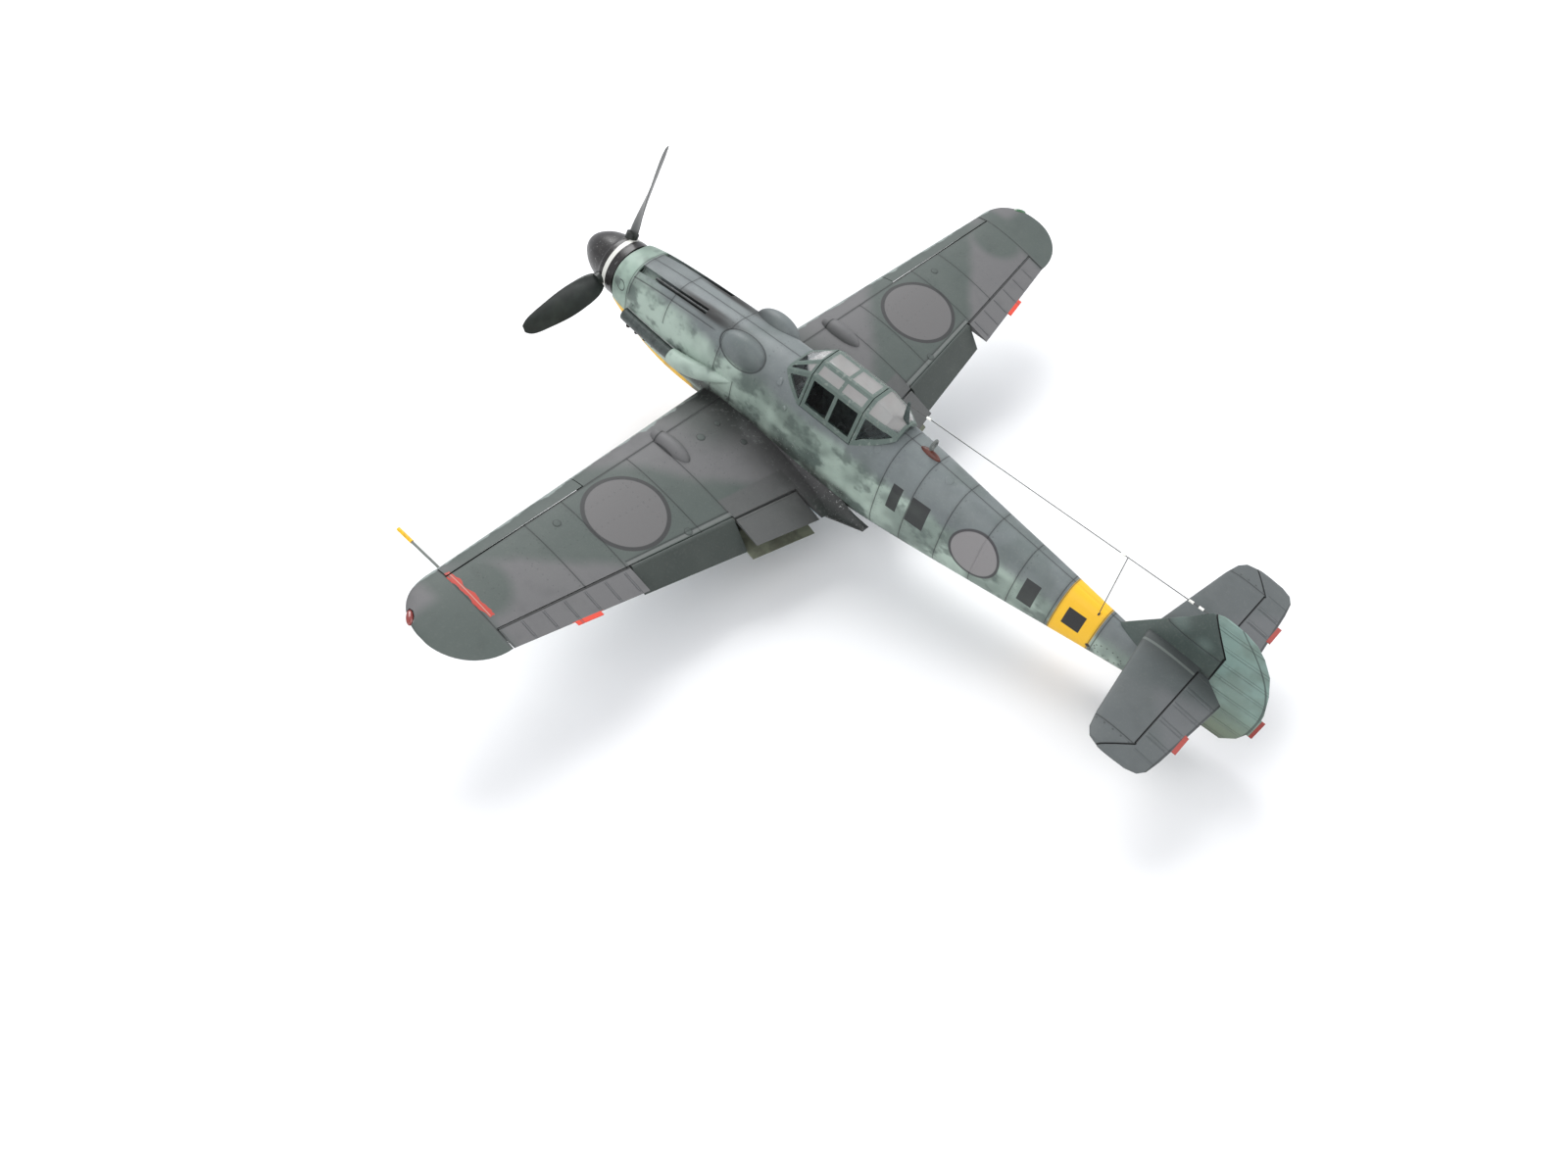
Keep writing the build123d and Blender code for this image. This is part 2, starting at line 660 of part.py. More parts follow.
def nose_bearing(inner):
    """The bulkhead inside the nose that the propeller shaft turns in."""
    plate = inner & box(-M, M, 0.86 * M, 0.94 * M, -M, M)
    boss = rod((0, 0.86 * M, 0), (0, 1.10 * M, 0), 3.4)
    return main_solid(plate + boss - rod((0, 0.5 * M, 0), (0, 2 * M, 0), shaft_radius + run_gap))


def shaft():
    """The propeller shaft with the hub block at its front and a retaining collar at its rear."""
    hub = rod((0, 0.40 * M, 0), (0, 0.62 * M, 0), hub_radius)
    bar = rod((0, 0.61 * M, 0), (0, 1.20 * M, 0), shaft_radius)
    collar = rod((0, 1.10 * M + 0.15, 0), (0, 1.16 * M, 0), 2.6)
    piece = hub + bar + collar
    for i in range(3):
        piece = piece - blade_shank(i)
    return main_solid(piece)


def blade_axis(i):
    a = math.radians(blade_turn + 120 * i)
    return Vector(math.sin(a), 0, math.cos(a))


def blade_shank(i):
    axis = blade_axis(i)
    centre = Vector(0, blade_plane, 0)
    return rod(tuple(centre + axis * 0.08 * M), tuple(centre + axis * 0.40 * M), blade_root_radius)


@cache
def blade_upright():
    """One blade standing on the propeller axis, with its twist washing out towards the tip."""
    sections = []
    for share, wide, turn, ratio in ((0.24, 0.55, 62, 0.30), (0.34, 0.88, 52, 0.17), (0.50, 1.00, 41, 0.115),
                                     (0.68, 0.96, 33, 0.095), (0.84, 0.80, 28, 0.085), (0.95, 0.56, 25, 0.08),
                                     (0.995, 0.24, 24, 0.08)):
        chord = blade_chord * wide

        def place(along, height, z=share * blade_tip_radius, chord=chord, a=math.radians(turn)):
            u, v = (along - 0.40) * chord, height
            return (u * math.cos(a) - v * math.sin(a), blade_plane + u * math.sin(a) + v * math.cos(a), z)
        sections.append(aerofoil(place, chord, ratio, 0.02, 0.10))
    return Solid.make_loft(sections)


@cache
def blade(i):
    """A finished blade with its round shank."""
    turned_blade = blade_upright().rotate(Axis((0, 0, 0), (0, 1, 0)), blade_turn + 120 * i)
    return main_solid(blade_shank(i) + turned_blade)


@cache
def spinner_body(inset):
    """The pointed outline of the spinner, moved inwards by inset, as a turned solid."""
    tip = inset * 1.3
    points = [(0, tip)]
    for share in (0.06, 0.2, 0.4, 0.65, 1.0):
        radius = (spinner_radius - inset) * (1 - (1 - share) ** 2) ** 0.525
        points.append((radius, tip + (spinner_length - tip) * share))
    curve = Spline(*points, tangents=[(1, 0.25, 0), (0.02, 1, 0)])
    rear = Line((points[-1][0], spinner_length, 0), (0, spinner_length, 0))
    return revolve(make_face([curve, rear, Line((0, spinner_length, 0), (0, tip, 0))]), Axis.Y)


def spinner():
    """The spinner's hollow shell with a hole for each shank."""
    piece = spinner_body(0.0) - spinner_body(1.1)
    for i in range(3):
        centre = Vector(0, blade_plane, 0)
        piece = piece - rod(tuple(centre), tuple(centre + blade_axis(i) * M), blade_root_radius) - blade(i)
    return main_solid(piece)


def backplate():
    """The disc that closes the spinner, carried by the shaft."""
    disc = spinner_body(1.1) & box(-M, M, spinner_length - 1.2, spinner_length, -M, M)
    return main_solid(disc - rod((0, 0, 0), (0, M, 0), shaft_radius))


# ---- cockpit ----
def cockpit_tub(inner):
    """The floor, side walls and rear shelf of the cockpit, fitted inside the skin."""
    block = inner & box(-M, M, 3.28 * M, 4.66 * M, -0.28 * M, 0.80 * M)
    well = box(-0.275 * M, 0.275 * M, 3.33 * M, 4.28 * M, -0.25 * M, M)
    return main_solid(block - well - side_outline(COCKPIT_CUT))


def seat():
    """A bucket seat with a raised back, standing on the cockpit floor."""
    outer = box(-0.19 * M, 0.19 * M, 3.84 * M, 4.20 * M, -0.25 * M, 0.02 * M)
    outer += prism_x([(4.10 * M, 0), (4.20 * M, 0), (4.24 * M, 0.40 * M), (4.19 * M, 0.40 * M)], -0.19 * M, 0.19 * M)
    outer -= box(-0.155 * M, 0.155 * M, 3.87 * M, 4.12 * M, -0.10 * M, M)
    belt = box(-0.12 * M, -0.07 * M, 4.10 * M, 4.13 * M, 0.01 * M, 0.3 * M)
    return main_solid(outer - belt)


def head_armour():
    """The armour plate behind the pilot's head, with its padded rest."""
    points = [(-0.15, 0.10), (0.15, 0.10), (0.17, 0.62), (0.10, 0.80), (-0.10, 0.80), (-0.17, 0.62)]
    face = make_face(Polyline(*[(x * M, 4.25 * M, z * M) for x, z in points], close=True))
    plate = extrude(face, amount=0.03 * M, dir=(0, 1, 0))
    pad = box(-0.08 * M, 0.08 * M, 4.215 * M, 4.26 * M, 0.60 * M, 0.74 * M)
    return main_solid(plate + pad - seat())


def control_stick():
    stick = rod((0, 3.66 * M, -0.25 * M), (0, 3.70 * M, 0.02 * M), 0.018 * M)
    grip = rod((0, 3.695 * M, 0.01 * M), (0, 3.70 * M, 0.12 * M), 0.028 * M)
    return main_solid((stick + grip) & box(-M, M, 3 * M, 4 * M, -0.25 * M, M))


def instrument_panel(inner):
    """The panel with recessed round dials and the gun sight on its top."""
    plate = inner & box(-0.275 * M, 0.275 * M, 3.42 * M, 3.47 * M, 0.02 * M, 0.50 * M)
    for x, z, r in ((-0.16, 0.36, 0.050), (-0.03, 0.37, 0.050), (0.10, 0.36, 0.050), (-0.13, 0.22, 0.042),
                    (0.0, 0.23, 0.042), (0.13, 0.22, 0.042)):
        plate -= rod((x * M, 3.455 * M, z * M), (x * M, 3.6 * M, z * M), r * M)
    sight = box(0.01 * M, 0.09 * M, 3.40 * M, 3.47 * M, 0.49 * M, 0.60 * M)
    reflector = prism_x([(3.42 * M, 0.59 * M), (3.445 * M, 0.59 * M), (3.475 * M, 0.70 * M), (3.45 * M, 0.70 * M)],
                        0.02 * M, 0.08 * M)
    return main_solid(plate + sight + reflector)


# ---- undercarriage ----
axle_start = (0.895 * M, wheel_y, wheel_z)
leg_top = (0.600 * M, 2.47 * M, -0.40 * M)


@cache
def gear_leg():
    """The port leg: an oleo strut with its scissor link and the stub axle."""
    knee = Vector(*leg_top) + (Vector(*axle_start) - Vector(*leg_top)) * 0.62
    upper = rod(leg_top, tuple(knee), leg_radius)
    lower = rod(tuple(knee), axle_start, leg_radius * 0.68)
    elbow = Pos(*axle_start) * Sphere(leg_radius * 0.95)
    axle = rod(axle_start, (wheel_x + tyre_width * 0.40, wheel_y, wheel_z), axle_radius)
    link = box(0.76 * M, 0.80 * M, wheel_y + 0.02 * M, wheel_y + 0.16 * M, -1.22 * M, -1.03 * M)
    return main_solid(upper + lower + elbow + axle + link)


def gear_door():
    """The flat cover on the outboard side of the port leg."""
    start, end = Vector(*leg_top), Vector(*axle_start)
    along = (end - start).normalized()
    across = Vector(0, 1, 0) - along * along.Y
    out = along.cross(across).normalized()
    out = out if out.X > 0 else out * -1
    centre = start + (end - start) * 0.49 + out * (leg_radius + 0.25) + across.normalized() * 0.03 * M
    plane = Plane(origin=centre, x_dir=across.normalized(), z_dir=out)
    return main_solid(plane * Box(0.30 * M, 0.66 * M, 0.7) - gear_leg())


def wheel(x, y, z, radius, hub_radius_, width, bore):
    """A tyre and its dished hub, which share one axis across the aeroplane."""
    def ring(r0, r1, w, soft):
        half = w / 2
        shape = Pos(0, 0, 0) * Cylinder(r1, w) - Cylinder(r0, w + 1)
        if soft:
            shape = fillet(shape.edges().filter_by(GeomType.CIRCLE).sort_by(SortBy.RADIUS)[-2:], half * 0.86)
        return Pos(x, y, z) * Rot(0, 90, 0) * shape
    tyre = ring(hub_radius_, radius, width, True)
    disc = ring(bore, hub_radius_, width * 0.80, False)
    for side in (-1, 1):
        dish = rod((x + side * width * 0.26, y, z), (x + side * width, y, z), hub_radius_ * 0.84)
        disc -= dish - rod((x - width, y, z), (x + width, y, z), hub_radius_ * 0.30)
    return main_solid(tyre), main_solid(disc)


def ground_height():
    """How far the ground lies below the origin, square to the ground."""
    a = math.radians(ground_angle)
    return -wheel_y * math.sin(a) + wheel_z * math.cos(a) - tyre_radius


def tail_wheel_z():
    a = math.radians(ground_angle)
    return (ground_height() + tail_wheel_radius + tail_wheel_y * math.sin(a)) / math.cos(a)


tail_pin_radius = 0.024 * M
tail_yoke_top = -0.058 * M
tail_socket_top = 0.070 * M


def tail_leg():
    leg = rod((0, tail_pivot_y, tail_socket_top), (0, tail_pivot_y, tail_yoke_top + 0.12), 0.048 * M)
    return leg - rod((0, tail_pivot_y, tail_socket_top - 0.02 * M), (0, tail_pivot_y, -M), tail_pin_radius + run_gap)


def tail_fork():
    """The castoring fork with the pin it turns on and the wheel's axle."""
    z = tail_wheel_z()
    front, rear = tail_pivot_y - 0.055 * M, tail_pivot_y + 0.065 * M
    block = box(-0.088 * M, 0.088 * M, front, rear, tail_yoke_top - 0.035 * M, tail_yoke_top)
    piece = block + rod((0, tail_pivot_y, tail_yoke_top - 0.1), (0, tail_pivot_y, tail_socket_top - 0.03 * M), tail_pin_radius)
    arm = [(front + 0.01 * M, tail_yoke_top - 0.01 * M), (rear, tail_yoke_top - 0.01 * M)]
    arm += [(tail_wheel_y + 0.03 * M, z), (tail_wheel_y, z - 0.035 * M), (tail_wheel_y - 0.035 * M, z)]
    for side in pair(prism_x(arm, 0.068 * M, 0.088 * M)):
        piece = piece + side
    return main_solid(piece + rod((-0.07 * M, tail_wheel_y, z), (0.07 * M, tail_wheel_y, z), 0.55))


# ---- aerials and small fittings ----
mast_tip = (0, 4.630 * M, 1.120 * M)
wire_front = (0, 4.640 * M, 1.090 * M)
wire_rear = (0, 8.25 * M, 1.335 * M)
wire_radius = 0.14
lead_in = 0.74  # share of the wire at which the lead-in joins it


def wire_at(share):
    return tuple(a + (b - a) * share for a, b in zip(wire_front, wire_rear))


def aerial_mast():
    """The tapered mast behind the cockpit."""
    rings = []
    for y, z, deep, wide in ((4.665, 0.845, 0.090, 0.034), (4.645, 0.98, 0.062, 0.024), (4.630, 1.12, 0.036, 0.014)):
        plane = Plane(origin=(0, y * M, z * M), x_dir=(0, 1, 0), z_dir=(0, 0, 1))
        rings.append(plane * Ellipse(deep * M / 2, wide * M / 2).wire())
    return Solid.make_loft(rings, True)


def aerial_wire():
    """The taut wire from the mast to the fin, with the lead-in that drops to the spine."""
    main_wire = rod(wire_front, wire_rear, wire_radius)
    drop = rod(wire_at(lead_in), (0.08 * M, 7.38 * M, 0.50 * M), wire_radius)
    return main_solid(main_wire + drop)


def insulators():
    """White beads threaded on the wire."""
    beads = []
    for share in (0.07, lead_in - 0.015, 0.935, 0.965):
        bead = rod(wire_at(share - 0.007), wire_at(share + 0.007), 0.42)
        beads.append(bead - rod(wire_front, wire_rear, wire_radius))
    return [main_solid(b) for b in beads]


def direction_finder(outer):
    """The loop aerial on its streamlined base."""
    base = Pos(0, 5.05 * M, 0.70 * M) * scale(Sphere(1), by=(0.045 * M, 0.13 * M, 0.055 * M))
    stem = rod((0, 5.05 * M, 0.72 * M), (0, 5.05 * M, 0.795 * M), 0.016 * M)
    ring = Plane(origin=(0, 5.05 * M, 0.845 * M), x_dir=(1, 0, 0), z_dir=(0, 1, 0)) * Torus(0.055 * M, 0.014 * M)
    return main_solid(base + stem + ring - outer)


def pitot():
    """The pressure tube under the port wing."""
    x, z = 4.28 * M, -0.125 * M
    head = rod((x, 1.91 * M, z), (x, 2.12 * M, z), 0.020 * M)
    tube = rod((x, 2.10 * M, z), (x, 2.74 * M, z), 0.014 * M)
    stay = rod((x, 2.70 * M, z), (x, 2.76 * M, z + 0.10 * M), 0.020 * M)
    return head + tube + stay


def lamp():
    """The navigation lamp let into the front corner of the port wing tip."""
    x, y = 4.895 * M, 2.885 * M
    z = chord_z(wing_joint_x, y) + wing_dihedral * (x - wing_joint_x) + 0.02 * M
    outline = [(-0.042, 0), (-0.034, -0.06), (0, -0.095), (0.034, -0.06)]
    outline += [(-a, -b) for a, b in outline]
    face = make_face(Polyline(*[(a * M, b * M) for a, b in outline], close=True))
    return main_solid(Pos(x, y, z) * Rot(0, 0, -38) * extrude(face, amount=0.030 * M, both=True))


def aileron_tab():
    """The fixed trimming tab behind the port aileron."""
    rings = []
    for x in (3.42 * M, 3.70 * M):
        y, z = te_y(x), chord_z(x, te_y(x))
        ring = [(x, y - 2.0, z + 0.25), (x, y + 1.5, z + 0.18), (x, y + 1.5, z - 0.18), (x, y - 2.0, z - 0.25)]
        rings.append(Wire(Polyline(*ring, close=True)))
    return Solid.make_loft(rings, True)


# ---- assembly ----
@cache
def chord_split():
    """Everything above the chord surface of the port wing."""
    rings = []
    for x in (0.30 * M, 4.45 * M):
        ring = [(x, M, chord_z(x, M)), (x, 6 * M, chord_z(x, 6 * M)), (x, 6 * M, 2 * M), (x, M, 2 * M)]
        rings.append(Wire(Polyline(*ring, close=True)))
    return Solid.make_loft(rings, True)


def wheel_well():
    """The round recess in the underside of the port wing."""
    return rod((1.42 * M, 2.80 * M, -M), (1.42 * M, 2.80 * M, -0.345 * M), 0.35 * M)


def wheel_blister(wing):
    """The low teardrop blister over the wheel's space, on top of the port wing."""
    x, y = 1.385 * M, 2.80 * M
    top = chord_z(x, y) + half_thickness(0.24, thickness_at(x)) * (te_y(x) - le_y(x))
    shape = scale(Sphere(1), by=(0.095 * M, 0.27 * M, 0.070 * M))
    return main_solid(Pos(x, y, top) * shape - wing)


def radiator_core():
    """The finned radiator block inside the port duct."""
    block = duct_solid(duct_wall) & box(0, 2 * M, 3.42 * M, 3.56 * M, -M, M)
    x0, x1 = duct_ends()
    for i in range(9):
        x = x0 + (x1 - x0) * (i + 1) / 10
        block -= box(x - 0.35, x + 0.35, 3.40 * M, 3.44 * M, -M, M)
        block -= box(x - 0.35, x + 0.35, 3.54 * M, 3.60 * M, -M, M)
    return main_solid(block - (duct_solid() - duct_solid(duct_wall, 5, 5)))


def port_wing(outer):
    """Every piece of the port wing in the flight frame."""
    whole = wing_loft()
    wing = main_solid(whole - outer)
    pieces = {"fillet": wing_fillet(outer, whole), "blister": wheel_blister(whole)}
    slat_space = slat_block(slat_inner, wing_joint_x + 0.01, joint_gap * 1.2)
    pieces["slat"] = main_solid(wing & slat_block(slat_inner + joint_gap, wing_joint_x - joint_gap, 0))
    aileron, aileron_space = control_surface(wing, aileron_inner, wing_joint_x)
    flap, flap_space = control_surface(wing, flap_inner, aileron_inner)
    pieces["aileron"] = main_solid(aileron + aileron_tab())
    pieces["flap"] = turned(flap, hinge_point(flap_inner), hinge_point(aileron_inner), -flap_rest)
    upper, ends = duct_flap(False)
    pieces["upper_flap"] = turned(upper, *ends, -upper_flap_rest)
    lower, ends = duct_flap(True)
    pieces["lower_flap"] = turned(lower, *ends, -lower_flap_rest)
    for space in (slat_space, aileron_space, flap_space, behind_hinge(duct_inner, flap_inner), duct_solid()):
        wing = wing - space
    above = chord_split()
    pieces["upper"] = main_solid(wing & above)
    pieces["lower"] = main_solid(wing - above - wheel_well() - gear_leg())
    pieces["duct"] = main_solid(duct_solid() - duct_solid(duct_wall, 5, 5))
    pieces["core"] = radiator_core()
    pieces["tip"] = main_solid(wingtip_loft() - lamp())
    return pieces


def body_pieces(outer):
    """The skin of the body cut into its moulded pieces."""
    inner = fuselage_solid(skin, 0, 11)
    shell = main_solid(outer - inner)
    ring = shell & box(-M, M, ring_front, ring_rear, -M, M)
    chin = (shell & chin_region()) + chin_scoop(outer)
    exhaust = exhaust_row()
    cover = upper_cowling(shell, outer)
    hull = shell & box(-M, M, ring_rear, 9 * M, -M, M)
    hull = hull - cover_region() - chin_region() - side_outline(COCKPIT_CUT)
    hull = hull - exhaust_slot(1) - exhaust_slot(-1) - spar_block()
    hull = hull - rod((0, tail_pivot_y, tail_socket_top), (0, tail_pivot_y, -M), 0.048 * M)
    return {
        "fuselage_left": hull & box(0, M, 0, 9 * M, -M, M),
        "fuselage_right": hull & box(-M, 0, 0, 9 * M, -M, M),
        "nose_ring": main_solid(ring),
        "gun_cover": cover,
        "chin_cowling": main_solid(chin),
        "exhausts": pair(exhaust),
        "gun_barrels": pair(gun_barrel()),
        "gun_blisters": [gun_blister(1, outer, cover), gun_blister(-1, outer, cover)],
        "intake_scoop": intake_scoop(outer),
        "shaft_bearing": nose_bearing(inner),
        "cockpit_tub": cockpit_tub(inner),
        "instrument_panel": instrument_panel(inner),
    }


def tail_pieces(outer):
    """The upright tail and both halves of the tailplane."""
    elevator, stabiliser = elevator_and_stabiliser()
    rudder, fin = fin_and_rudder(outer)
    elevator = main_solid(elevator + box(0.78 * M, 1.02 * M, 8.72 * M, 8.79 * M, tail_height - 0.2, tail_height + 0.2))
    rudder = main_solid(rudder + box(-0.2, 0.2, 9.10 * M, 9.225 * M, 0.34 * M, 0.62 * M))
    stabiliser = main_solid(stabiliser - fin_loft())
    return {"fin": fin, "rudder": rudder, "stabilisers": pair(stabiliser), "elevators": pair(elevator)}


def all_parts():
    """Every piece by name, in the flight frame."""
    outer = fuselage_solid()
    parts = body_pieces(outer)
    wing = port_wing(outer)
    for name in ("slat", "aileron", "flap"):
        parts[name + "_left"], parts[name + "_right"] = pair(wing[name])
    for name in ("upper", "lower"):
        left, right = pair(wing[name + "_flap"])
        parts["radiator_" + name + "_flap_left"], parts["radiator_" + name + "_flap_right"] = left, right
    parts["wing_uppers"] = pair(wing["upper"])
    parts["wing_tips"] = pair(wing["tip"])
    parts["wing_fillets"] = pair(wing["fillet"])
    parts["wheel_blisters"] = pair(wing["blister"])
    parts["radiator_ducts"] = pair(wing["duct"])
    parts["radiator_cores"] = pair(wing["core"])
    left, right = pair(wing["lower"])
    parts["wing_lower"] = main_solid(left + spar_block() + right)
    parts.update(tail_pieces(outer))
    parts["propeller_shaft"] = shaft()
    parts["propeller_blades"] = [blade(i) for i in range(3)]
    parts["spinner"] = spinner()
    parts["spinner_backplate"] = backplate()
    parts["windscreen_frame"], front_glass = windscreen()
    parts["canopy_frame"], parts["canopy_glass"] = hood()
    parts["rear_frame"], rear_glass = rear_glazing()
    parts["fixed_glass"] = front_glass + rear_glass
    parts["seat"] = seat()
    parts["head_armour"] = head_armour()
    parts["control_stick"] = control_stick()
    parts["gear_legs"] = pair(gear_leg())
    parts["gear_doors"] = pair(gear_door())
    tyre, hub = wheel(wheel_x, wheel_y, wheel_z, tyre_radius, hub_disc_radius, tyre_width, axle_radius + run_gap)
    parts["tyre_left"], parts["tyre_right"] = pair(tyre)
    parts["hub_left"], parts["hub_right"] = pair(hub)
    parts["tail_leg"] = tail_leg()
    parts["tail_fork"] = tail_fork()
    tail_bore = 0.55 + run_gap
    tyre, hub = wheel(0, tail_wheel_y, tail_wheel_z(), tail_wheel_radius, tail_wheel_radius * 0.55, tail_wheel_width,
                      tail_bore)
    parts["tail_wheel"] = [tyre, hub]
    mast = main_solid(aerial_mast() - parts["rear_frame"] - rear_glass[0] - outer)
    parts["aerial_mast"] = mast
    parts["aerial_wire"] = main_solid(aerial_wire() - mast - parts["fin"] - outer)
    parts["insulators"] = insulators()
    parts["direction_finder"] = direction_finder(outer)
    parts["pitot_tube"] = main_solid(pitot() - wing["lower"])
    parts["wing_lamps"] = pair(lamp())
    return parts


def parking_turn():
    """The turn from the flight frame to the parked attitude."""
    return Rot(-ground_angle, 0, 0)


def parking_shift(parts):
    """The move that puts the wheels on the ground and the outline's middle over the origin."""
    boxes = [(parking_turn() * solid).bounding_box() for shape in parts.values() for solid in as_solids(shape)]
    low, high = min(b.min.Y for b in boxes), max(b.max.Y for b in boxes)
    return Vector(0, -(low + high) / 2, -ground_height())


def main():
    os.makedirs("parts", exist_ok=True)
    parts = all_parts()
    place = Pos(*parking_shift(parts)) * parking_turn()
    for name, shape in parts.items():
        solids = [place * solid for solid in as_solids(shape)]
        export_step(Compound(children=solids), os.path.join("parts", name + ".step"))
    print(len(parts), "pieces")


if __name__ == "__main__":
    main()
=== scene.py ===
# %% [markdown]
# A 1:32 model of a single-seat propeller fighter, standing on its wheels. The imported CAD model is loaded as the
# frame, every material is built from shader nodes, and small fittings are added as grid surfaces.

# %% Load the frame
import math
import bmesh
import bpy
import numpy as np
from mathutils.bvhtree import BVHTree
from mathutils import Matrix, Vector


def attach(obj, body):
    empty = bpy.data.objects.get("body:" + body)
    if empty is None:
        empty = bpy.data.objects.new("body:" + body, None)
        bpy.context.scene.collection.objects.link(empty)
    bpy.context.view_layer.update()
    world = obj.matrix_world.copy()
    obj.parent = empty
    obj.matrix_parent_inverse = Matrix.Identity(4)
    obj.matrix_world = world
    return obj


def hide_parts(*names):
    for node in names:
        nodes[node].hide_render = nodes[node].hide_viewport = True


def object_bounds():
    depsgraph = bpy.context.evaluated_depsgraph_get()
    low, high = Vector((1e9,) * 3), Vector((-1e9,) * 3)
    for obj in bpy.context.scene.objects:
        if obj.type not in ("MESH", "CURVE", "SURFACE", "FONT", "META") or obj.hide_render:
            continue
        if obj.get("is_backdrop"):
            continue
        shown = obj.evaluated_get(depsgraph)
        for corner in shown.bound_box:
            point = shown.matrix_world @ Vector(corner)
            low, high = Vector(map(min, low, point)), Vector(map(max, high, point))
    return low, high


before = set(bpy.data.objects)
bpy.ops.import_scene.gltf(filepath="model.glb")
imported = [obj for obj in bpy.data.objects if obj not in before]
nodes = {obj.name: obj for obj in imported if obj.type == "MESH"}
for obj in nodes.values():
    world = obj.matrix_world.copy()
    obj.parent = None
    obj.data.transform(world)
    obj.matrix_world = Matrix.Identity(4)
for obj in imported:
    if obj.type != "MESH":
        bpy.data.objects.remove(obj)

cad_box = [list(v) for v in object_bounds()]

# %% [markdown]
# Places on the aircraft are easier to think of in its flight frame, in full-size metres: X to port, Y aft from the
# spinner's tip and Z up. The parked model is that frame shrunk 32 times, pitched nose-up and set on the ground.

# %% The flight frame
UNIT = 1 / 32
PITCH = math.radians(13)
SHIFT = Vector((0, -0.1426255, 0.0688750))


def parked(x, y, z):
    """A flight-frame point in full-size metres, as a point of the parked model in metres."""
    c, s = math.cos(PITCH), math.sin(PITCH)
    return Vector((x, y * c + z * s, z * c - y * s)) * UNIT + SHIFT


def parked_grid(p):
    """The same for an array whose last axis is x, y, z."""
    c, s = math.cos(PITCH), math.sin(PITCH)
    turned = np.stack([p[..., 0], p[..., 1] * c + p[..., 2] * s, p[..., 2] * c - p[..., 1] * s], -1)
    return turned * UNIT + np.array(SHIFT)


def srgb(r, g, b):
    """A screen colour from 0 to 1 as the linear colour that shaders use."""
    return tuple(c / 12.92 if c <= 0.04 else ((c + 0.055) / 1.055) ** 2.4 for c in (r, g, b)) + (1.0,)


print("spinner tip stands at", [round(v, 4) for v in parked(0, 0, 0)])

# %% [markdown]
# A Paint collects shader nodes. Its x, y and z are flight-frame coordinates, so a mask such as "aft of 7 m" is one
# call, and masks are painted over each other in order, like coats of paint.

